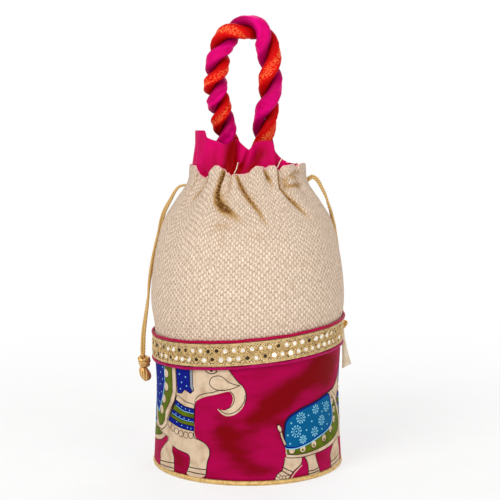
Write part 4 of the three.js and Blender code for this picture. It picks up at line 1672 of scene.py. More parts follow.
HEAD: tuple[Motif, ...] = (
    Stroke(Ink.LINE, (*BROW, (-1.4, 60.8), (-0.8, 56.9), (-1.8, 52.3))),
    Stroke(
        Ink.LINE, ((-18.8, 48.7), (-16.7, 47.2), (-14.6, 46.1), (-11.6, 46), (-7.6, 47.6),
        (-4.3, 50.6), (-2, 54.5), (-1.5, 58.2)), 0.5,
    ),
    Stroke(
        Ink.LINE, ((-14.3, 48.6), (-11, 50.4), (-9.1, 53), (-8.5, 56), (-9.3, 58.6), (-11.4, 60.7)),
        0.5,
    ),
    Stroke(
        Ink.LINE, ((-35.9, 53.1), (-33.1, 55.9), (-28.5, 57.9), (-23.3, 59), (-17.7, 60.9),
        (-14.2, 61.1)), 0.5,
    ),
    Stroke(
        Ink.LINE, ((-4.9, 64.4), (-8.2, 65), (-12.2, 66.5), (-14.5, 68.4), (-16.8, 69.9), (-19.9, 70),
        (-23.1, 68.8), (-24.9, 66), (-24.6, 63.7), (-22.5, 61.9), (-19, 60.8), (-14.2, 61.1),
        (-8.9, 62.6), (-4.9, 64.4)), 0.5,
    ),
    Stroke(Ink.LINE, ((-27.6, 72.8), (-25.8, 71.6), (-23.7, 71.2), (-21.6, 71.6), (-19.5, 73)), 0.6),
    Stroke(Ink.LINE, ((-27.6, 72.8), (-23.5, 75.4), (-19.5, 73)), 0.6),
    Dots(Ink.LINE, ((-23.5, 73.4),), 1.1),
    Stroke(Ink.LINE, ((-36, 52.5), *FORE_LEG, (-27.3, 3.4)), 0.6),
    Stroke(Ink.LINE, ((-42.6, 3.4), *BELLY, (-53, 3.4)), 0.5),
    Stroke(Ink.LINE, ((-71.8, 3.4), *HIND_LEG), 0.5),
    Stroke(Ink.LINE, ((-70.6, 6.9), (-60.8, 8), (-53.3, 9)), 0.6),
    Stroke(Ink.LINE, ((-71.8, 4.4), (-61.2, 5), (-53.3, 5.6)), 0.6),
    Stroke(Ink.LINE, ((-39.8, 9.1), (-33.8, 8.9), (-27, 9.1)), 0.6),
    Stroke(Ink.LINE, ((-41.1, 6.2), (-34.4, 5.9), (-27.5, 5.8)), 0.6),
    Shape(
        Ink.LINE, ((-52.5, 54.2), (-44, 50.9), (-36.6, 50), (-36.4, 31.6), (-45, 32), (-54, 33.4),
        (-62.4, 35), (-60, 40.4)), False,
    ),
    Shape(
        Ink.CREAM, ((-52.1, 53.7), (-44.2, 50.4), (-36.9, 49.6), (-36.9, 47.2), (-45, 47.8),
        (-53, 50.6)), False,
    ),
    Shape(
        Ink.BLUE, ((-53.4, 50), (-45, 47.2), (-36.9, 46.6), (-36.9, 44.1), (-45.6, 44.6),
        (-54.4, 47.2)), False,
    ),
    Shape(
        Ink.OLIVE, ((-54.6, 46.7), (-45.8, 44), (-36.9, 43.5), (-36.9, 41.1), (-46.4, 41.4),
        (-56.3, 43.9)), False,
    ),
    Shape(
        Ink.BLUE, ((-56.5, 43.4), (-46.6, 40.9), (-36.9, 40.6), (-36.9, 38.2), (-47.2, 38.4),
        (-58.3, 40.9)), False,
    ),
    Shape(
        Ink.OLIVE, ((-58.6, 40.4), (-47.4, 37.9), (-36.9, 37.7), (-36.9, 36), (-47.8, 36.2),
        (-59.6, 38.9)), False,
    ),
    Shape(
        Ink.BLUE, ((-59.8, 38.5), (-48, 35.8), (-36.9, 35.5), (-36.9, 32.6), (-48.6, 33),
        (-61.4, 35.7)), False,
    ),
    Stroke(Ink.PALE, ((-53.6, 47), (-45.4, 44.4), (-36.9, 43.9)), 0.4),
    Stroke(Ink.PALE, ((-57.3, 41.1), (-47, 38.8), (-36.9, 38.4)), 0.4),
    Stroke(Ink.CREAM, ((-61.8, 35), (-48.6, 32.4), (-36.9, 32)), 0.8),
    Dots(
        Ink.PALE, ((-51, 48), (-47.6, 46.8), (-44, 46), (-40.4, 45.6), (-53, 41.4), (-49, 40.4),
        (-45, 39.8), (-41, 39.6), (-52, 36.2), (-47, 34.8), (-42, 34.2), (-39, 34)), 0.42,
    ),
    Dots(
        Ink.CREAM, ((-59.6, 33.2), (-56, 31.4), (-52, 30.2), (-47.6, 29.4), (-43.2, 29.2),
        (-39, 29.6)), 1.85, 2.25,
    ),
)

HEAD_CLOTH: tuple[Motif, ...] = (
    Shape(
        Ink.LINE, ((-52.3, 97), (-52.2, 58.8), (-51.9, 54.9), (-47.2, 55.3), (-44.7, 58.2),
        (-39.7, 56.2), (-36.6, 58.9), (-37.4, 62), (-36.9, 97)), False,
    ),
    Shape(
        Ink.BRAID, ((-39.4, 97), (-39.6, 60.9), (-38.2, 58.4), (-37.2, 59.2), (-37.9, 62.2),
        (-37.4, 97)), False,
    ),
    Shape(
        Ink.BLUE, ((-51.8, 97), (-51.7, 58.8), (-51.4, 55.4), (-47.3, 55.9), (-44.7, 58.9),
        (-39.9, 56.8), (-38.6, 58.5), (-40.3, 60.9), (-39.9, 97)), False,
    ),
    Dots(
        Ink.PALE, ((-49, 68), (-43.5, 66.8), (-47.3, 62.8), (-42.9, 61), (-48.7, 58.3), (-43.4, 72.4),
        (-48.8, 74), (-44, 78), (-49, 80)), 0.55,
    ),
)

STRIP: tuple[Motif, ...] = (
    Shape(
        Ink.LINE, ((-51.9, 97), (-52.4, 56), (-54.5, 49.6), (-60.1, 41.2), (-62.9, 35.3),
        (-62.8, 32.6), (-65.8, 29.6), (-71, 27), (-78, 27.4), (-84, 33), (-86, 97)), False,
    ),
    Shape(
        Ink.CREAM, ((-52.4, 97), (-52.9, 56.2), (-55, 49.8), (-60.5, 41.5), (-63.4, 35.4),
        (-63.3, 32.8), (-66.1, 30.1), (-71, 27.6), (-77.8, 28), (-83.5, 33.3), (-85.4, 97)), False,
    ),
    Shape(
        Ink.LINE, ((-55.4, 97), (-56.6, 55.3), (-59.7, 48), (-65.4, 40.7), (-66.2, 34.6),
        (-69.4, 30.9), (-75, 29.2), (-80.8, 34), (-82, 97)), False,
    ),
    Shape(
        Ink.OLIVE, ((-55.9, 97), (-57.1, 55.3), (-60.2, 48.2), (-65.9, 40.9), (-66.7, 34.9),
        (-69.8, 31.5), (-75, 29.8), (-80.2, 34.3), (-81.4, 97)), False,
    ),
    Dots(
        Ink.CREAM, ((-63.8, 84), (-63.9, 75), (-64, 66), (-64.8, 57), (-68.4, 48.4), (-71.6, 40.6)),
        2.9, 3.4,
    ),
    Shape(
        Ink.PALE, ((-65.4, 97), (-66, 60), (-69.4, 50), (-73.4, 43), (-76.4, 38), (-84.6, 41),
        (-86.8, 52), (-87, 97)), False,
    ),
    Shape(
        Ink.BLUE, ((-66.2, 97), (-66.8, 60.4), (-70.2, 50.6), (-74.2, 43.6), (-77, 39), (-84, 41.8),
        (-86.2, 52.2), (-86.4, 97)), False,
    ),
    Dots(
        Ink.PALE, ((-69, 78), (-72, 73), (-69, 69), (-73, 65), (-70, 61), (-74, 57), (-72.6, 52),
        (-77, 50), (-76, 45), (-80, 60), (-79, 70), (-83, 50), (-84, 64), (-81, 45), (-78, 56),
        (-76, 75)), 0.6,
    ),
)

SECOND_BACK: tuple[Motif, ...] = (
    Shape(
        Ink.LINE, ((-50.6, 65.4), (-47.6, 70.6), (-42.8, 83.4), (-39, 96), (-36.9, 97), (-37.4, 62),
        (-36.6, 58.9), (-39.7, 56.2), (-44.7, 58.2), (-47.2, 55.3), (-51.9, 54.9)), False,
    ),
    Shape(
        Ink.BLUE, ((-50.2, 65.6), (-47.2, 70.7), (-42.4, 83.6), (-39.9, 92), (-39.9, 72),
        (-40.3, 60.9), (-38.6, 58.5), (-39.9, 56.8), (-44.7, 58.9), (-47.3, 55.9), (-51.4, 55.4)),
        False,
    ),
    Dots(Ink.PALE, ((-47.3, 62.8), (-42.9, 61), (-48.7, 58.3), (-43.4, 68), (-42.4, 75)), 0.55),
    Stroke(Ink.LINE, (*BACK, (-39, 96)), 0.9),
)


@dataclass(frozen=True)
class Placing:
    """A group of motifs set round the panel, shifted across by a distance."""

    motifs: tuple[Motif, ...]
    shift: float


@dataclass
class PrintedPanel:
    """Lower panel with a procession of elephants printed round it."""

    body: BodyShape
    palette: Palette
    thickness: float = 1.0
    foot: float = 3.5
    top: float = 84.9
    columns: int = 288
    rows: int = 40
    inner_rows: int = 6
    radius: float = 62.0
    layer_step: float = 0.012
    cell_across: float = 2.0
    cell_up: float = 4.0
    seam: float = 194.2
    dot_sides: int = 12
    first_rise: float = 0.03
    ceiling: float = 97.0
    corner_cut: float = 0.2
    corner_rounds: int = 2
    placings: tuple[Placing, ...] = (
        Placing(REAR, -150.0),
        Placing(FRONT_BODY, 0.0),
        Placing(HEAD, 0.0),
        Placing(HEAD_CLOTH, 0.0),
        Placing(STRIP, 0.0),
        Placing(SECOND_BODY, 136.6),
        Placing(HEAD, 136.6),
        Placing(SECOND_BACK, 136.6),
        Placing(REAR, 0.0),
        Placing(REAR, 128.0),
        Placing(FRONT_BODY, -141.0),
        Placing(HEAD, -141.0),
        Placing(HEAD_CLOTH, -141.0),
    )
    # Soft patches of painted shade on the ground.
    shade_patches: tuple[Patch, ...] = (
        Patch(8, 44, 15, 8, 1.1, 40), Patch(24, 56, 14, 8, 1.2, 25), Patch(44, 68, 17, 8, 1.3, 28),
        Patch(62, 70, 14, 12, 1.3, 10), Patch(-14, 31, 9, 7, 1.1, 0), Patch(-6, 20, 10, 8, 1.0, 0),
        Patch(6, 10, 13, 4, 0.8, 0), Patch(22, 36, 7, 9, 0.6, 0), Patch(-16, 40, 7, 6, 0.6, 0),
        Patch(-48, 10, 7, 7, 0.7, 0), Patch(47, 8, 6, 6, 0.5, 0), Patch(-100, 66, 20, 9, 0.9, -20),
        Patch(-132, 60, 12, 12, 0.9, 0), Patch(-118, 10, 12, 6, 0.8, 0), Patch(122, 62, 14, 8, 0.9, 20),
        Patch(146, 40, 10, 12, 0.8, 0), Patch(168, 66, 20, 9, 0.9, -15), Patch(-168, 40, 14, 12, 0.8, 0),
        Patch(-150, 70, 12, 7, 0.7, 0), Patch(134, 14, 10, 8, 0.8, 0), Patch(184, 20, 10, 8, 0.7, 0),
    )
    levels: list[tuple[float, float, float, float, int]] = field(default_factory=list)
    vertices: list[Vector] = field(default_factory=list)
    faces: list[list[int]] = field(default_factory=list)
    inks: list[int] = field(default_factory=list)
    loops: list[Point] = field(default_factory=list)

    def place(self, points: Sequence[Point], layer: int) -> Array:
        """Points of the print on the bag.

        Args:
            points: distance across and height of each point on the flat print.
            layer: the layer, which raises them off the cloth.

        Returns:
            The points in space.
        """
        flat = np.asarray(points, dtype=float)
        azimuth = flat[:, 0] / self.radius
        height = np.minimum(flat[:, 1], self.body.tilted(self.top, azimuth))
        return self.body.point(azimuth, height, -(self.first_rise + layer * self.layer_step))

    def add_face(self, corners: Sequence[Point], ink: Ink, layer: int) -> None:
        """Adds one small flat face, unless it is over the panel's top or past its back seam.

        Args:
            corners: its corners on the flat print.
            ink: its colour.
            layer: its layer.
        """
        if all(z >= self.ceiling for _, z in corners) or any(abs(x) > self.seam for x, _ in corners):
            return
        first = len(self.vertices)
        self.vertices += [tuple(p) for p in self.place(corners, layer)]
        self.faces.append(list(range(first, first + len(corners))))
        self.inks.append(ink.value)
        self.loops += list(corners)

    @staticmethod
    def clipped(corners: list[Point], axis: int, limit: float, keep_above: bool) -> list[Point]:
        """A convex shape cut by a line across one axis.

        Args:
            corners: the shape's corners.
            axis: 0 to cut at a distance across, 1 to cut at a height.
            limit: where the cut is.
            keep_above: whether the part above the limit stays.

        Returns:
            The corners of the part that stays.
        """
        kept: list[Point] = []
        sign = 1.0 if keep_above else -1.0
        for i, here in enumerate(corners):
            there = corners[(i + 1) % len(corners)]
            a, b = sign * (here[axis] - limit), sign * (there[axis] - limit)
            if a >= 0:
                kept.append(here)
            if (a > 0 > b) or (a < 0 < b):
                t = a / (a - b)
                kept.append((lerp(here[0], there[0], t), lerp(here[1], there[1], t)))
        return kept

    def add_convex(self, corners: list[Point], ink: Ink, layer: int) -> None:
        """Adds a convex shape, cut into cells small enough to follow the bag.

        Args:
            corners: its corners on the flat print.
            ink: its colour.
            layer: its layer.
        """
        low = math.floor(min(x for x, _ in corners) / self.cell_across)
        high = math.ceil(max(x for x, _ in corners) / self.cell_across)
        for i in range(low, high):
            strip = self.clipped(corners, 0, i * self.cell_across, True)
            strip = self.clipped(strip, 0, (i + 1) * self.cell_across, False)
            if len(strip) < 3:
                continue
            bottom = math.floor(min(z for _, z in strip) / self.cell_up)
            top = math.ceil(max(z for _, z in strip) / self.cell_up)
            for j in range(bottom, top):
                cell = self.clipped(strip, 1, j * self.cell_up, True)
                cell = self.clipped(cell, 1, (j + 1) * self.cell_up, False)
                if len(cell) >= 3:
                    self.add_face(cell, ink, layer)

    def rounded(self, corners: Sequence[Point]) -> list[Point]:
        """A shape with its corners cut back.

        Args:
            corners: the shape's corners.

        Returns:
            The corners of the rounded shape.
        """
        points = [np.array(p, dtype=float) for p in corners]
        near, far = self.corner_cut, 1.0 - self.corner_cut
        for _ in range(self.corner_rounds):
            cut = []
            for here, there in zip(points, points[1:] + points[:1]):
                cut += [here * far + there * near, here * near + there * far]
            points = cut
        return [(float(p[0]), float(p[1])) for p in points]

    def level_for(self, points: Iterable[Point]) -> int:
        """First level at which a thing lies clear of all that it may cover.

        Args:
            points: the thing's outline.

        Returns:
            The level, counted from 1 at the cloth.
        """
        listed = list(points)
        xs, zs = [x for x, _ in listed], [z for _, z in listed]
        box = (min(xs), max(xs), min(zs), max(zs))
        level = 1
        for left, right, bottom, top, used in self.levels:
            apart = box[0] > right or box[1] < left or box[2] > top or box[3] < bottom
            if not apart:
                level = max(level, used + 1)
        self.levels.append((*box, level))
        return level

    def add_shape(self, shape: Shape, shift: float) -> None:
        """Adds a filled shape, cut into triangles and then into cells.

        Args:
            shape: the shape.
            shift: how far across it is set.
        """
        corners = [(x + shift, z) for x, z in shape.corners]
        if shape.rounded:
            corners = self.rounded(corners)
        level = self.level_for(corners)
        for triangle in geometry.tessellate_polygon([[(x, z, 0.0) for x, z in corners]]):
            self.add_convex([corners[i] for i in triangle], shape.ink, level)

    def add_stroke(self, stroke: Stroke, shift: float) -> None:
        """Adds a drawn line as a ribbon of even width.

        Args:
            stroke: the line.
            shift: how far across it is set.
        """
        path = spline([(x + shift, z) for x, z in stroke.points], 6)
        along = tangents(path)
        side = np.stack([-along[:, 1], along[:, 0]], axis=1) * stroke.width / 2
        left, right = path + side, path - side
        level = self.level_for([(float(x), float(z)) for x, z in path])
        for i in range(len(path) - 1):
            corners = [right[i], right[i + 1], left[i + 1], left[i]]
            self.add_face([(float(x), float(z)) for x, z in corners], stroke.ink, level)

    def add_disc(self, centre: Point, radius: float, ink: Ink) -> None:
        """Adds a round dot.

        Args:
            centre: its middle on the flat print.
            radius: its radius.
            ink: its colour.
        """
        corners = [
            (centre[0] + radius * math.cos(a), centre[1] + radius * math.sin(a))
            for a in np.arange(self.dot_sides) / self.dot_sides * TAU
        ]
        self.add_convex(corners, ink, self.level_for(corners))

    def add_rosette(self, rosette: Rosette, shift: float) -> None:
        """Adds a flower: two rings of drops round a centre.

        Args:
            rosette: the flower.
            shift: how far across it is set.
        """
        x, z = rosette.centre[0] + shift, rosette.centre[1]
        self.add_disc((x, z), rosette.heart, Ink.PALE)
        for reach, size in rosette.rings:
            distance = reach * rosette.radius
            for i in range(rosette.petals):
                angle = i / rosette.petals * TAU
                centre = (x + distance * math.cos(angle), z + distance * math.sin(angle))
                self.add_disc(centre, size, Ink.PALE)

    def add_motif(self, motif: Motif, shift: float) -> None:
        """Adds one motif of the print.

        Args:
            motif: the motif.
            shift: how far across it is set.
        """
        if isinstance(motif, Shape):
            self.add_shape(motif, shift)
        elif isinstance(motif, Stroke):
            self.add_stroke(motif, shift)
        elif isinstance(motif, Rosette):
            self.add_rosette(motif, shift)
        else:
            rim = [] if motif.rim is None else [(motif.rim, Ink.LINE)]
            for radius, ink in [*rim, (motif.radius, motif.ink)]:
                for x, z in motif.centres:
                    self.add_disc((x + shift, z), radius, ink)

    def build_cloth(self) -> Piece:
        """Makes the plain panel that carries the print.

        Returns:
            The panel.
        """
        azimuth = ring_azimuths(self.columns)[None, :]
        share = np.linspace(0, 1, self.rows)
        inner_share = np.linspace(1, 0, self.inner_rows)
        outer_z = self.body.tilted(lerp(self.foot, self.top, share[:, None]), azimuth)
        inner_z = self.body.tilted(lerp(self.foot, self.top, inner_share[:, None]), azimuth)
        outer = self.body.point(azimuth, outer_z, 0.0)
        inner = self.body.point(azimuth, inner_z, self.thickness)
        shade_patch = sum(p.share(azimuth * self.radius, outer_z) for p in self.shade_patches)
        shade_patch = np.concatenate([shade_patch, np.zeros(inner_z.shape)])
        length = self.top - self.foot
        run = np.concatenate([self.foot + share * length, self.top + (1 - inner_share) * length])
        uv = ring_uv(self.columns, np.append(run, run[-1] + self.thickness), self.radius)
        return MeshKit.grid(
            "printed_cloth",
            np.concatenate([outer, inner]),
            uv,
            self.palette.inks[Ink.GROUND],
            wrap_rows=True,
            attributes={"shade_patch": shade_patch},
        )

    def build(self) -> None:
        """Makes the panel and the print on it."""
        cloth = attach(self.build_cloth(), "print", "printed_panel")
        for placing in self.placings:
            for motif in placing.motifs:
                self.add_motif(motif, placing.shift)
        LOG.info("print: %d levels", max(level for *_, level in self.levels))
        motifs = MeshKit.make(
            "elephant_print",
            np.array(self.vertices),
            self.faces,
            self.palette.ink_slots(),
            inks=self.inks,
            uvs=np.array(self.loops),
            closed=False,
        )
        attach(motifs, "print")


@dataclass(frozen=True)
class LaceBand:
    """Mirror-work lace over the seam: net ground, crossing cords, mirrors and edges."""

    body: BodyShape
    palette: Palette
    mirrors: int = 70
    rows: tuple[float, float] = (4.4, 9.8)
    mirror_radius: float = 1.7
    net_rise: float = 0.9
    cord_rise: float = 1.35
    cord_radius: float = 0.4
    cord_reach: float = 2.3
    edge_radius: float = 0.5
    steps: int = 10
    sharpness: float = 0.97
    ring_sides: int = 12
    ring_radius: float = 0.3
    ring_gap: float = 0.05
    ring_rise: float = 0.15
    columns: int = 280
    net_back: float = 0.3
    net_edge: float = 0.8
    net_shoulder: Point = (1.2, 1.0)
    weave_radius: float = 61.2
    unevenness: float = 0.3
    facing: float = 0.2
    mirror_sizes: Point = (0.8, 1.1)
    mirror_lift: float = 0.3
    mirror_bevel: Point = (0.85, 0.25)
    dark_share: float = 0.24
    edge_cords: tuple[tuple[float, float, float, float], ...] = (
        (0.45, 0.0, 1.0, 0.0),
        (1.35, 0.35, 0.5, 0.1),
    )

    def point(self, azimuth: Array, up: Array, rise: Array) -> Array:
        """Points of the band: azimuth in radians, distance up it and rise off it."""
        height = self.body.tilted(self.body.band_bottom + up, azimuth)
        return self.body.point(azimuth, height, -np.asarray(rise, dtype=float))

    def build_net(self) -> Piece:
        """Makes the net ground, a thin closed band.

        Returns:
            The net.
        """
        azimuth = ring_azimuths(self.columns)
        width = self.body.band_width
        inward, shoulder = self.net_shoulder
        face = (
            (0.0, self.net_back), (0.0, self.net_edge), (inward, shoulder), (width / 2, shoulder),
            (width - inward, shoulder), (width, self.net_edge),
        )
        section = (*face, (width, self.net_back), (width / 2, self.net_back))
        points = np.stack([self.point(azimuth, up, rise) for up, rise in section])
        run = np.append([up for up, _ in face], [width + 1, width * 1.5, width * 2])
        uv = ring_uv(self.columns, run, self.weave_radius)
        return MeshKit.grid("lace_net", points, uv, self.palette.net, wrap_rows=True)

    def wavy_cord(self, up: float, reach: float, period: float, phase: float, lift: float) -> Array:
        """A cord that waves up and down the band.

        Args:
            up: its middle, up the band.
            reach: how far it waves to each side.
            period: length of one wave, in mirror spacings.
            phase: phase of the wave in radians.
            lift: how far it rises and dips where two cords cross.

        Returns:
            The closed centre line.
        """
        count = self.mirrors * self.steps
        azimuth = ring_azimuths(count)
        angle = azimuth * self.mirrors / period + phase
        wave = np.arcsin(np.cos(angle) * self.sharpness) / (math.pi / 2)
        return self.point(azimuth, up + reach * wave, self.cord_rise + lift * np.sin(angle))

    @staticmethod
    def cords(
        name: str, paths: list[Array], radius: float, material: Material, sides: int = 6
    ) -> Piece:
        """Makes closed cords of the lace.

        Args:
            name: the piece's name.
            paths: the cords' centre lines.
            radius: their radius.
            material: their thread.
            sides: sides of each cord.

        Returns:
            The piece.
        """
        return attach(MeshKit.tube(name, paths, radius, sides, material, closed=True), "lace")

    def build_mirrors(self) -> tuple[Piece, list[Array]]:
        """Makes the mirrors, each a bevelled disc with its own tilt.

        Returns:
            The mirrors and the centre line of the thread ring round each.
        """
        chance = random.Random(SEED)
        vertices, faces, inks, rings = [], [], [], []
        sides = self.ring_sides
        angles = np.arange(sides) / sides * TAU
        cosine, sine = np.cos(angles)[:, None], np.sin(angles)[:, None]
        # Each disc has a rim, a bevelled face before it and a back behind it.
        bevel, rise = self.mirror_bevel
        levels = ((1.0, 0.0), (bevel, rise), (1.0, -self.mirror_lift))
        for row, up in enumerate(self.rows):
            for i in range(self.mirrors):
                azimuth = -math.pi + (i + 0.5 * row) / self.mirrors * TAU
                place = up + chance.uniform(-self.unevenness, self.unevenness)
                lift = self.net_rise + self.mirror_lift
                centre = self.point(np.array([azimuth]), place, lift)[0]
                outward = np.array([math.sin(azimuth), -math.cos(azimuth), 0.0])
                turn = [chance.uniform(-self.facing, self.facing) for _ in range(3)]
                facing = outward + np.array(turn)
                facing /= np.linalg.norm(facing)
                across = np.cross((0.0, 0.0, 1.0), facing)
                across /= np.linalg.norm(across)
                size = self.mirror_radius * chance.uniform(*self.mirror_sizes)
                spokes = cosine * across + sine * np.cross(facing, across)
                rings.append(centre + spokes * (size + self.ring_gap) + facing * self.ring_rise)
                rim = len(vertices)
                face, back = rim + sides, rim + 2 * sides
                for scale, out in levels:
                    vertices += list(centre + spokes * size * scale + facing * out)
                faces.append([face + k for k in range(sides)])
                faces.append([back + k for k in range(sides)][::-1])
                for k in range(sides):
                    k2 = (k + 1) % sides
                    faces.append([rim + k, rim + k2, face + k2, face + k])
                    faces.append([back + k, back + k2, rim + k2, rim + k])
                # Some mirrors get the dark glass, a painted reflection.
                inks += [int(chance.random() <= self.dark_share)] * (2 + 2 * sides)
        glass = [self.palette.mirror_bright, self.palette.mirror_dark]
        mirrors = MeshKit.make("lace_mirrors", np.array(vertices), faces, glass, inks=inks)
        mirrors.data.polygons.foreach_set("use_smooth", [False] * len(mirrors.data.polygons))
        return mirrors, rings

    def build(self) -> None:
        """Makes the band."""
        net = attach(self.build_net(), "lace", "lace_band")
        low, high = self.rows
        width = self.body.band_width
        crossing = [
            self.wavy_cord(up, side * self.cord_reach, 2.0, phase, 0.25)
            for up, phase in ((low, 0.0), (high, math.pi / 2))
            for side in (1, -1)
        ]
        crossing += [self.wavy_cord(width / 2, 1.0, 1.0, phase, 0.2) for phase in (0.0, math.pi)]
        thread = self.palette.zari_cord
        cord = self.cords("lace_crossing_cords", crossing, self.cord_radius, thread)
        mirrors, rings = self.build_mirrors()
        attach(mirrors, "lace")
        eyelets = self.cords("lace_mirror_rings", rings, self.ring_radius, thread, 5)
        rows = [*self.edge_cords]
        rows += [(width - up, *wave) for up, *wave in self.edge_cords[::-1]]
        edges = [self.wavy_cord(up, reach, period, 0.0, lift) for up, reach, period, lift in rows]
        edge = self.cords("lace_edge_cords", edges, self.edge_radius, self.palette.zari_edge)


@dataclass(frozen=True)
class Pipings:
    """Satin pipings along both edges of the lace, and the zari piping round the base."""

    body: BodyShape
    palette: Palette
    radius: float = 0.95
    gap: float = 0.45
    sides: int = 10
    columns: int = 300
    wander: Point = (0.12, 0.08)
    waves: tuple[int, int] = (11, 23)
    base_radius: float = 1.6
    base_centre: float = 61.4
    base_sides: int = 12

    def band_path(self, height: float) -> Array:
        """Centre line of a piping round the bag, which wanders a little as it is sewn.

        Args:
            height: its height on the untilted bag.

        Returns:
            The closed centre line.
        """
        azimuth = ring_azimuths(self.columns)
        level = self.body.tilted(height, azimuth)
        wide = self.wander[0] * np.sin(azimuth * self.waves[0])
        fine = self.wander[1] * np.sin(azimuth * self.waves[1] + 1)
        return self.body.point(azimuth, level + (wide + fine), -(self.gap + self.radius))

    def build(self) -> None:
        """Makes the three pipings."""
        bands = (
            ("upper", self.body.upper_piping_height, self.palette.piping),
            ("lower", self.body.lower_piping_height, self.palette.lower_piping),
        )
        for name, height, satin in bands:
            path = self.band_path(height)
            piping = MeshKit.tube(
                f"{name}_satin_piping", [path], self.radius, self.sides, satin, closed=True
            )
            attach(piping, "piping", f"{name}_piping")
        azimuth = ring_azimuths(self.columns)
        level = np.full(azimuth.shape, self.base_radius)
        east, south = self.base_centre * np.sin(azimuth), -self.base_centre * np.cos(azimuth)
        ring = np.stack([east, south, level], axis=1)
        zari = self.palette.zari_base
        base = MeshKit.tube(
            "base_zari_piping", [ring], self.base_radius, self.base_sides, zari, closed=True
        )
        attach(base, "zari", "base_piping")


@dataclass(frozen=True)
class Base:
    """Base: the cloth under it and the board inside it."""

    palette: Palette
    radius: float = 59.4
    thickness: float = 0.8
    columns: int = 96
    rings: tuple[float, ...] = (0.002, 0.25, 0.5, 0.75, 0.92, 1.0)

    def build(self) -> None:
        """Makes the base cloth, and dresses the board, which keeps its shape."""
        azimuth = ring_azimuths(self.columns)
        levels = [(share, 0.0) for share in self.rings]
        levels += [(share, self.thickness) for share in self.rings[::-1]]
        rows = []
        for share, height in levels:
            east, south = share * self.radius * np.sin(azimuth), -share * self.radius * np.cos(azimuth)
            rows.append(np.stack([east, south, np.full(azimuth.shape, height)], axis=1))
        points = np.stack(rows)
        flat = points[:, :, :2]
        uv = np.concatenate([flat, flat[:, :1]], axis=1)
        cloth = MeshKit.grid("base_satin", points, uv, self.palette.base_cloth, caps=True)
        attach(cloth, "satin", "base_cloth")
        dress("base_board", self.palette.card)


@dataclass(frozen=True)
class Lining:
    """Lining: a cup of cloth inside the panels, sewn to the frill at its top."""

    body: BodyShape
    palette: Palette
    thickness: float = 0.6
    levels: tuple[Point, ...] = (
        (3.6, 2.4), (20, 2.3), (54, 2.3), (78, 2.4), (100, 2.6), (125, 2.8), (140, 3.0),
        (152, 3.6), (162, 4.6), (170, 5.9), (176, 8.2), (181.4, 10.8), (185, 11.0), (189, 10.6),
        (191, 8.8), (193, 7.9),
    )
    columns: int = 160
    ripple: float = 0.3
    ripples: int = 14
    ripple_from: Point = (140.0, 180.0)
    floor_share: float = 0.5
    middle_shares: Point = (0.0001, 0.01)
    weave_radius: float = 60.0

    def floored(self, rows: list[Array], middle: float) -> list[Array]:
        """Rows of the wall with the floor's rows before them.

        Args:
            rows: rows of the wall from its foot up.
            middle: share of the foot's width at which the floor begins.

        Returns:
            The rows from the floor's middle to the wall's top.
        """
        shares = (middle, self.floor_share)
        return [rows[0] * np.array([share, share, 1.0]) for share in shares] + rows

    def build(self) -> None:
        """Makes the lining."""
        azimuth = ring_azimuths(self.columns)
        outer, inner = [], []
        for height, inset in self.levels:
            gathered = float(smoothstep(height, *self.ripple_from))
            drawn = inset + self.ripple * np.sin(azimuth * self.ripples) * gathered
            outer.append(self.body.point(azimuth, height, drawn))
            inside = drawn + self.thickness
            inner.append(self.body.point(azimuth, height + self.thickness, inside))
        under, over = self.middle_shares
        rows = self.floored(outer, under) + self.floored(inner, over)[::-1]
        run = np.array([float(abs(row[0][2])) + i for i, row in enumerate(rows)])
        uv = ring_uv(self.columns, run, self.weave_radius)
        cloth = MeshKit.grid("lining_cloth", np.stack(rows), uv, self.palette.lining, caps=True)
        attach(cloth, "lining", "lining")


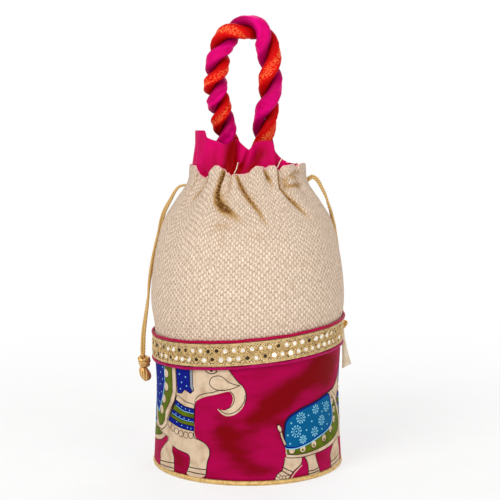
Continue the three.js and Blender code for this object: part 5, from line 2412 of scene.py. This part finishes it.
@dataclass(frozen=True)
class Frill:
    """Satin frill standing out of the gathered neck."""

    body: BodyShape
    palette: Palette
    jute: JutePanel
    thickness: float = 0.8
    foot: float = 190.0
    lean: float = 2.2
    seat: float = 1.4
    radius: float = 35.0
    thread_radius: float = 0.32
    thread_gap: float = 0.1
    columns: int = 520
    outer_rows: int = 40
    inner_rows: int = 30
    ripple: float = 0.14
    ripples: int = 17
    ripple_phase: float = 0.6
    free_from: Point = (195.0, 214.0)
    own_over_brim: Point = (0.5, 7.0)
    creased_over_brim: float = 4.0
    flank_over_brim: float = 6.0
    neck_over_brim: float = 1.0
    flank_shade: float = 0.25
    crease_shade: float = 0.25
    full_crease: float = 2.0
    shade_power: float = 1.5
    edge: tuple[Point, ...] = (
        (-180, 204), (-165, 205.6), (-150, 206), (-125, 209), (-112, 213.4), (-100, 216), (-88, 219.8),
        (-82, 220.4), (-57, 221), (-54.5, 220.6), (-52.6, 218.6), (-51.4, 216.8), (-42, 215.2),
        (-34, 214.4), (-26, 212.2), (-18, 215.4), (-11, 215.6), (-4, 212), (1.6, 209.2),
        (5, 211.6), (9, 213.8), (20, 215.2), (27, 214.6), (31, 211.4), (34, 207.4), (40, 204),
        (44, 201.5), (52, 198), (75, 196), (100, 196.5), (125, 197.5), (150, 200.5), (180, 204),
    )
    broad: tuple[Pleat, ...] = (
        Pleat(-18, 3.6, 13, 0, 1), Pleat(12, 2.6, 11, 0, 1),
        Pleat(38, 2.6, 9, 0, 1), Pleat(70, 2.5, 12, 0, 1), Pleat(110, 3.2, 12, 0, 1),
        Pleat(178, 2.4, 9, 0, 1), Pleat(150, 1.6, 8, 0, 1), Pleat(-118, 3.4, 14, 0, 1),
        Pleat(-152, 2.0, 10, 0, 1),
    )
    threads: tuple[tuple[Point, ...], ...] = (
        ((41, 203.4), (37.5, 201), (34.5, 198.8), (31, 197.2)),
        ((-10, 201.5), (-11.6, 198), (-13.6, 194.6)),
    )
    shades: tuple[Patch, ...] = (
        Patch(-10.4, 205, 4.6, 16, 1.0, 6), Patch(-13.5, 199, 3.5, 10, 0.7, 0),
        Patch(-4.5, 197.5, 1.8, 8, 0.7, -34), Patch(-7.5, 197, 3, 6, 0.6, -10),
        Patch(8.2, 205, 4.0, 7.5, 0.75, -42), Patch(3.0, 197, 5.0, 3.0, 0.6, 0),
        Patch(-30, 196, 5, 9, 0.35, 0), Patch(-22, 198, 3, 10, 0.4, 0), Patch(20, 200, 3, 8, 0.5, 0),
        Patch(-62, 202, 4, 10, 0.6, 0), Patch(-80, 198, 4, 8, 0.7, 0), Patch(64, 197, 4, 8, 0.7, 0),
        Patch(100, 198, 4, 8, 0.6, 0), Patch(34, 198, 3, 7, 0.4, 0),
    )
    creases: tuple[Crease, ...] = (
        Crease(((1.6, 210), (-3.7, 202.5), (-11.2, 193), (-13, 190)), 2.2, 1.1),
        Crease(((-14, 216), (-19, 204), (-17.7, 196), (-16, 190)), 2.2, 4.0),
        Crease(((16, 211), (9, 202.5), (2.6, 198), (-2, 192)), 2.0, 3.0),
        Crease(((31.8, 211), (34.2, 204.5), (33, 197)), 1.3, 0.9),
        Crease(((-38, 214), (-40, 204), (-44, 194)), 0.6, 3.0),
        Crease(((-75, 218), (-74, 205), (-72, 194)), 0.9, 1.6),
        Crease(((-100, 214), (-104, 204), (-107, 193)), 2.0, 1.5),
        Crease(((-135, 206), (-132, 198), (-132, 191)), 2.2, 1.5),
        Crease(((165, 203), (172, 198), (178, 192)), 1.8, 1.4),
        Crease(((128, 200), (131, 196), (132, 191)), 2.0, 1.4),
        Crease(((100, 198), (104, 194), (106, 191)), 1.6, 1.4),
    )

    def surface(self, azimuth: Array, height: Array) -> tuple[Array, Array]:
        """Shape and shade of the frill.

        Args:
            azimuth: azimuths in radians.
            height: heights, in an array of the same shape.

        Returns:
            How far the frill's outer face is drawn in, and how much painted shade it has.
        """
        broad = np.zeros(height.shape)
        for pleat in self.broad:
            across = np.abs(wrapped_degrees(np.degrees(azimuth) - pleat.at)) / pleat.half
            valley = np.cos(np.clip(across, 0, 1) * math.pi / 2) ** 2
            broad += pleat.depth * np.where(across < 1, valley, 0)
        # Down in the neck the satin follows the jute's folds, and above the brim its own.
        brim = self.jute.soft_brim(azimuth)
        neck = self.jute.folding(azimuth, np.minimum(height, brim + self.neck_over_brim))
        first, last = self.own_over_brim
        own = smoothstep(height, brim + first, brim + last)
        creasing = sum(crease.depth_at(azimuth, height, self.radius) for crease in self.creases)
        free = smoothstep(height, *self.free_from)
        ripple = self.ripple * np.sin(azimuth * self.ripples + self.ripple_phase) * free
        drawn = creasing * smoothstep(height, brim, brim + self.creased_over_brim)
        inset = self.seat + lerp(neck, broad, own) + drawn + free * self.lean + ripple
        # Painted shade: soft patches, the sharp folds and the flank just above the jute's brim.
        shade = sum(shade_patch.share(azimuth * self.radius, height) for shade_patch in self.shades)
        flank = 1.0 - smoothstep(height, brim, brim + self.flank_over_brim)
        creased = self.crease_shade * (creasing / self.full_crease) ** self.shade_power
        return inset, np.clip(creased + shade + self.flank_shade * flank, 0, 1)

    def build_threads(self) -> Piece:
        """Makes the pale ends of sewing thread that lie on the frill at the brim.

        Returns:
            The threads.
        """
        paths = []
        for points in self.threads:
            line = resampled(spline(points, 8), 24)
            azimuth, height = np.radians(line[:, 0]), line[:, 1]
            inset, _ = self.surface(azimuth, height)
            above = inset - self.thread_radius - self.thread_gap
            paths.append(self.body.point(azimuth, height, above))
        return MeshKit.tube("loose_threads", paths, self.thread_radius, 6, self.palette.cream)

    def build(self) -> None:
        """Makes the frill and the threads on it."""
        azimuth = ring_azimuths(self.columns)[None, :]
        degrees = wrapped_degrees(np.degrees(azimuth))
        top = np.interp(degrees, [a for a, _ in self.edge], [z for _, z in self.edge])
        top = (np.roll(top, 1) + 2 * top + np.roll(top, -1)) / 4
        climb, fall = np.linspace(0, 1, self.outer_rows), np.linspace(1, 0, self.inner_rows)
        height = lerp(self.foot, top, np.concatenate([climb, fall])[:, None])
        spread = np.broadcast_to(azimuth, height.shape)
        inset, painted_shade = self.surface(spread, height)
        depth = np.concatenate([np.zeros(self.outer_rows), np.ones(self.inner_rows)])[:, None]
        points = self.body.point(spread, height, inset + depth * self.thickness)
        up = np.where(depth > 0, 2 * (top.max() - self.foot) - height + self.foot, height - self.foot)
        up = np.vstack([up, up[-1:] + self.thickness])
        uv = ring_uv(self.columns, np.hstack([up, up[:, :1]]), self.radius)
        satin = self.palette.satin
        cloth = MeshKit.grid(
            "frill_satin", points, uv, satin, wrap_rows=True, attributes={"painted_shade": painted_shade}
        )
        attach(cloth, "satin", "frill")
        threads = attach(self.build_threads(), "cord_end")


@dataclass(frozen=True)
class Handle:
    """Handle of two padded plies twisted into a rope."""

    palette: Palette
    route: tuple[Vector, ...] = (
        (-11.2, 17.6, 194.3), (-12.2, 13.4, 204.5), (-14, 9.6, 216), (-16.2, 7, 226.4),
        (-19, 3.4, 238.6), (-20.9, 0.8, 248), (-20, 0, 258.5), (-18, 0, 271), (-12.6, 0, 281),
        (-4.2, 0, 286), (4.4, 0, 286.2), (10.6, 0, 281.4), (13.4, 0, 271.9), (14.8, 0, 259),
        (14.6, 0.8, 247.4), (13.2, 3.6, 236.5), (11.4, 7, 226.4), (10.2, 10.7, 213.8),
        (9.6, 13.8, 204), (9.3, 17.6, 194.3),
    )
    turns: tuple[Point, ...] = (
        (0, -2.4), (23.6, -1), (39.5, 0), (52.6, 1), (64.5, 2), (79.5, 3), (97, 4), (117.8, 5),
        (140.2, 6), (161.1, 7), (187.9, 8), (209.2, 8.8),
    )
    rise: float = 3.75
    half_width: float = 5.7
    offset: float = 3.7
    steps: int = 420
    sides: int = 40
    girth: float = 30.0
    long_lump: Point = (0.035, 5.3)
    short_lump: Point = (0.025, 2.9)
    pucker: float = 0.10
    puckers_along: float = 1.9
    puckers_round: int = 3
    front_power: float = 0.85
    side_power: float = 0.9
    end_size: float = 0.55
    # Powers and strength of the painted highlight and painted shade on each ply.
    crown_power: float = 1.2
    groove_power: float = 6.0
    groove_shade: float = 0.5

    def centre_line(self) -> tuple[Array, Array, Array]:
        """The rope's centre line at even spacing.

        Returns:
            Its points, its directions and its turn in radians.
        """
        path = resampled(spline(self.route, 24), self.steps)
        run = run_along(path)
        turn_at = Interpolant(tuple(t for _, t in self.turns), tuple(r for r, _ in self.turns))
        fine = np.linspace(self.turns[0][1], self.turns[-1][1], 800)
        turn = np.interp(run * self.turns[-1][0] / run[-1], turn_at.at(fine), fine) * math.pi
        return path, tangents(path), turn

    def ply(self, name: str, phase: float, material: Material) -> Piece:
        """Makes one ply.

        Args:
            name: the piece's name.
            phase: turn of the ply about the rope's centre line.
            material: its cloth.

        Returns:
            The piece.
        """
        path, along, turn = self.centre_line()
        forward = np.array([0.0, -1.0, 0.0])
        front = forward - along * (along @ forward)[:, None]
        front /= np.linalg.norm(front, axis=1)[:, None]
        side = np.cross(along, front)
        angle = (turn + phase)[:, None]
        outward = front * np.cos(angle) + side * np.sin(angle)
        across = np.cross(along, outward)
        section = np.arange(self.sides) / self.sides * TAU
        run = run_along(path)
        long, short = self.long_lump, self.short_lump
        lump = 1.0 + long[0] * np.sin(run / long[1] + phase)
        lump = lump + short[0] * np.sin(run / short[1] + 2 * phase + 1)
        waves = run[:, None] * self.puckers_along + self.puckers_round * section[None, :] + phase
        pucker = self.pucker * np.sin(waves)
        cosine, sine = np.cos(section)[None, :], np.sin(section)[None, :]
        bulge = self.rise * np.abs(cosine) ** self.front_power
        out = np.where(cosine > 0, bulge, -self.rise * np.abs(cosine))
        wide = self.half_width * np.sign(sine) * np.abs(sine) ** self.side_power
        taper = np.ones(len(run))
        taper[0] = taper[-1] = self.end_size
        size = (lump * taper)[:, None]
        points = (
            path[:, None]
            + outward[:, None] * ((self.offset + out * size + pucker * (cosine > 0))[..., None])
            + across[:, None] * ((wide * size)[..., None])
        )
        uv = MeshKit.tube_uv(self.sides, self.girth, run)
        # Crown places the brocade's painted highlight; the other attribute paints shade on the ply's
        # flanks and on the back that faces the other ply.
        crown = np.broadcast_to(np.clip(cosine, 0, 1) ** self.crown_power, points.shape[:2])
        flank = np.abs(sine) ** self.groove_power * self.groove_shade
        groove = np.clip(flank + np.clip(-cosine, 0, 1), 0, 1)
        painted_light_and_shade = {"crown": crown, "painted_shade": np.broadcast_to(groove, points.shape[:2])}
        return MeshKit.grid(name, points, uv, material, caps=True, attributes=painted_light_and_shade)

    def build(self) -> None:
        """Makes both plies."""
        orange = self.ply("handle_orange", 0.0, self.palette.orange_ply)
        attach(orange, "orange_ply", "handle_ply_orange")
        magenta = self.ply("handle_magenta", math.pi, self.palette.magenta_ply)
        attach(magenta, "magenta_ply", "handle_ply_magenta")


@dataclass(frozen=True)
class Drawcords:
    """Two drawcord tails of doubled satin cord with their knots.

    Routes are in metres, from each cord's place in the channel down to its knot.
    """

    palette: Palette
    left_route: tuple[Vector, ...] = (
        (-0.0352, 0, 0.1834), (-0.0406, 0.0002, 0.1844), (-0.0447, 0.0012, 0.1832),
        (-0.0478, 0.0024, 0.1795), (-0.0502, 0.0036, 0.175), (-0.0528, 0.0048, 0.1704),
        (-0.055, 0.0066, 0.1658), (-0.0566, 0.009, 0.1606), (-0.0586, 0.013, 0.151),
        (-0.0613, 0.0122, 0.1403), (-0.0636, 0.0102, 0.1297), (-0.0652, 0.0078, 0.119),
        (-0.066, 0.0056, 0.1085), (-0.0674, 0.0032, 0.0976), (-0.0688, 0.0015, 0.087),
        (-0.0693, 0.0005, 0.0775), (-0.0694, 0, 0.0719),
    )
    right_route: tuple[Vector, ...] = (
        (0.0336, 0, 0.1872), (0.0386, 0, 0.1877), (0.0422, 0.0003, 0.1898),
        (0.0454, 0.001, 0.1878), (0.0486, 0.002, 0.1824), (0.0512, 0.003, 0.1771),
        (0.053, 0.0046, 0.1718), (0.0548, 0.0074, 0.1665), (0.056, 0.0118, 0.1612),
        (0.0572, 0.0148, 0.156), (0.058, 0.0168, 0.1506), (0.0596, 0.0198, 0.1403),
        (0.0604, 0.022, 0.132), (0.0609, 0.023, 0.1242), (0.0616, 0.023, 0.116),
        (0.0624, 0.0222, 0.108), (0.0634, 0.0203, 0.0986), (0.0642, 0.0184, 0.0924),
    )
    end_route: tuple[Vector, ...] = (
        (0.0644, 0.0182, 0.0867), (0.065, 0.0168, 0.079), (0.0659, 0.0162, 0.071),
        (0.0668, 0.0156, 0.063),
    )
    strand_radius: float = 0.84
    strand_offset: float = 0.8
    turn_per_mm: float = 0.0403
    joined_start: float = 6.0
    joined_end: Point = (4.0, 2.0)
    joined_share: float = 0.75
    knot_shift: Vector = (1.0, 0, -4.6)
    knot_turns: float = 2.2
    knot_radius: float = 2.7
    knot_slant: float = 0.9
    knot_half_height: float = 1.5
    knot_strand: float = 1.5
    strand_sides: int = 10
    knot_sides: int = 12
    knot_start: float = 0.25
    knot_waist: float = 0.25
    knot_front: tuple[Vector, ...] = (
        (-1.8, -0.6, 3.0), (-2.9, -2.4, 1.9), (-1.0, -3.5, 0.8), (1.4, -3.2, -0.7),
        (2.4, -1.4, -2.0), (0.6, -0.2, -3.2),
    )
    knot_core_end: Vector = (0, 0, -4.2)
    bulb_rows: int = 30
    bulb_columns: int = 56
    bulb_size: float = 3.2
    bulb_half_length: float = 5.4
    bulb_fullness: float = 0.75
    bulb_ribs: float = 2.5
    bulb_rib_height: float = 0.12
    bulb_slope: float = 1.5
    bulb_phase: float = 0.9
    bulb_taper: float = 0.1
    bulb_opening: float = 0.06
    bulb_girth: float = 24.0
    bulb_run: float = 4.2
    bulb_tilt: float = -24.0
    bulb_shift: Vector = (1.2, 0.0, -12.8)
    small_knot_shift: Vector = (0.3, -0.5, -3.3)
    small_knot_size: Vector = (0.62, 1.1, 0.7)
    small_knot_strand: float = 1.2
    end_girth: float = 10.0
    end_half_width: float = 1.0
    end_flare: float = 2.1
    end_flare_power: float = 2.2
    end_drift: Point = (0.5, -0.6)
    end_half_depth: float = 0.6
    end_wave: float = 0.5
    end_slant: Point = (1.5, -2.4)

    def tail(self, name: str, route: Sequence[Vector], turn: float) -> tuple[Piece, Array]:
        """Makes a tail of two strands lying side by side.

        Args:
            name: the piece's name.
            route: centre line in metres.
            turn: direction in which the pair faces at its start, in radians.

        Returns:
            The piece and its centre line in millimetres.
        """
        path = resampled(spline(np.array(route) / MM, 16), 200)
        along = tangents(path)
        run = run_along(path)
        side = np.cross(along, (0.0, 1.0, 0.0))
        side /= np.linalg.norm(side, axis=1)[:, None]
        other = np.cross(side, along)
        angle = (turn + run * self.turn_per_mm)[:, None]
        apart = side * np.cos(angle) + other * np.sin(angle)
        before, after = self.joined_end
        leaving = smoothstep(run, 0, self.joined_start)[:, None]
        arriving = smoothstep(run, run[-1] - before, run[-1] + after)[:, None]
        spread = lerp(self.joined_share, 1.0, leaving * (1 - arriving))
        shift = apart * self.strand_offset * spread
        strands = [path + shift, path - shift]
        radius, sides = self.strand_radius, self.strand_sides
        return MeshKit.tube(name, strands, radius, sides, self.palette.cord), path

    def wrapped_knot(self) -> Piece:
        """Makes the left knot: slanted wraps with one strand drawn across their front.

        Returns:
            The knot.
        """
        end = np.array(self.left_route[-1]) / MM
        middle = end + np.array(self.knot_shift)
        share = np.linspace(0, 1, 110)
        angle = (share * self.knot_turns - self.knot_start) * TAU
        radius = self.knot_radius * (1 - self.knot_waist * (2 * share - 1) ** 2)
        slant = self.knot_slant * np.sin(angle + 0.5)
        rise = self.knot_half_height * (1 - 2 * share)
        wraps = np.stack([radius * np.cos(angle), radius * np.sin(angle), rise + slant], axis=1)
        front = resampled(spline(np.array(self.knot_front), 12), 40)
        core = np.linspace(end + np.array([0, 0, 0.4]), middle + np.array(self.knot_core_end), 12)
        paths = [middle + wraps, middle + front, core]
        radius, sides = self.knot_strand, self.knot_sides
        return MeshKit.tube("left_wrapped_knot", paths, radius, sides, self.palette.knot)

    def bulb(self) -> Piece:
        """Makes the bound bulb under the left knot.

        Returns:
            The bulb.
        """
        end = np.array(self.left_route[-1]) / MM
        polar = np.linspace(self.bulb_opening, math.pi - self.bulb_opening, self.bulb_rows)
        angle = np.arange(self.bulb_columns) / self.bulb_columns * TAU
        wound = angle[None, :] * self.bulb_ribs + polar[:, None] * self.bulb_slope + self.bulb_phase
        rib = 1.0 + self.bulb_rib_height * np.abs(np.sin(wound))
        bowed = self.bulb_size * np.sin(polar)[:, None] ** self.bulb_fullness
        size = bowed * rib * (1 - self.bulb_taper * np.cos(polar))[:, None]
        tilt = math.radians(self.bulb_tilt)
        x, y = size * np.cos(angle), size * np.sin(angle)
        z = np.broadcast_to(self.bulb_half_length * np.cos(polar)[:, None], x.shape)
        leaning = x * math.cos(tilt) + z * math.sin(tilt)
        standing = -x * math.sin(tilt) + z * math.cos(tilt)
        points = np.stack([leaning, y, standing], axis=-1) + (end + np.array(self.bulb_shift))
        uv = MeshKit.tube_uv(self.bulb_columns, self.bulb_girth, polar * self.bulb_run)
        return MeshKit.grid("left_bulb", points, uv, self.palette.knot, caps=True)

    def overhand_knot(self) -> Piece:
        """Makes the right knot: a small overhand knot.

        Returns:
            The knot.
        """
        middle = np.array(self.right_route[-1]) / MM + np.array(self.small_knot_shift)
        t = np.arange(120) / 120 * TAU
        across = np.sin(t) + 2 * np.sin(2 * t)
        up = np.cos(t) - 2 * np.cos(2 * t)
        loop = np.stack([across, -np.sin(3 * t), up], axis=1) * np.array(self.small_knot_size)
        path, radius, gold = middle + loop, self.small_knot_strand, self.palette.knot
        return MeshKit.tube("right_knot", [path], radius, self.knot_sides, gold, closed=True)

    def flared_end(self) -> Piece:
        """Makes the flat cloth end below the right knot.

        Returns:
            The end.
        """
        path = resampled(spline(np.array(self.end_route) / MM, 12), 40)
        sides = 24
        angle = np.arange(sides) / sides * TAU
        share = np.linspace(0, 1, len(path))[:, None]
        width = self.end_half_width + self.end_flare * share**self.end_flare_power
        wave = self.end_wave * np.sin(angle[None, :] * 2 + share * 3) * share
        (slant, drop), (drift, start) = self.end_slant, self.end_drift
        x = path[:, 0:1] + width * np.cos(angle) + drift * share**2 + start
        y = path[:, 1:2] + self.end_half_depth * np.sin(angle) + wave
        z = path[:, 2:3] + (slant * np.cos(angle) + drop) * share**3
        uv = MeshKit.tube_uv(sides, self.end_girth, run_along(path))
        points = np.stack([x, y, z], axis=-1)
        return MeshKit.grid("right_cord_end", points, uv, self.palette.cream, caps=True)

    def build(self) -> None:
        """Makes both tails with the pieces on them."""
        for node in ("drawcord_ring_left", "drawcord_ring_right"):
            dress(node, self.palette.cord)
        left, left_path = self.tail("left_drawcord", self.left_route, 1.2)
        attach(left, "cord", "drawcord_tail_left")
        knot = attach(self.wrapped_knot(), "cord", "knot_left")
        bulb = attach(self.bulb(), "cord", "bulb_left")
        right, right_path = self.tail("right_drawcord", self.right_route, 0.4)
        attach(right, "cord", "drawcord_tail_right")
        small = attach(self.overhand_knot(), "cord", "knot_right")
        end = attach(self.flared_end(), "cord_end", "cord_end_right")


def main() -> None:
    """Builds the studio and the bag in order."""
    logging.basicConfig(level=logging.INFO, format="%(name)s %(message)s")
    studio = Studio()
    studio.build_camera()
    palette = Palette()
    Drawcords(palette).build()
    body = BodyShape()
    Base(palette).build()
    PrintedPanel(body, palette).build()
    jute = JutePanel(body, palette)
    jute.build()
    Pipings(body, palette).build()
    LaceBand(body, palette).build()
    Lining(body, palette).build()
    Frill(body, palette, jute).build()
    Handle(palette).build()
    studio.build()


if __name__ == "__main__":
    main()
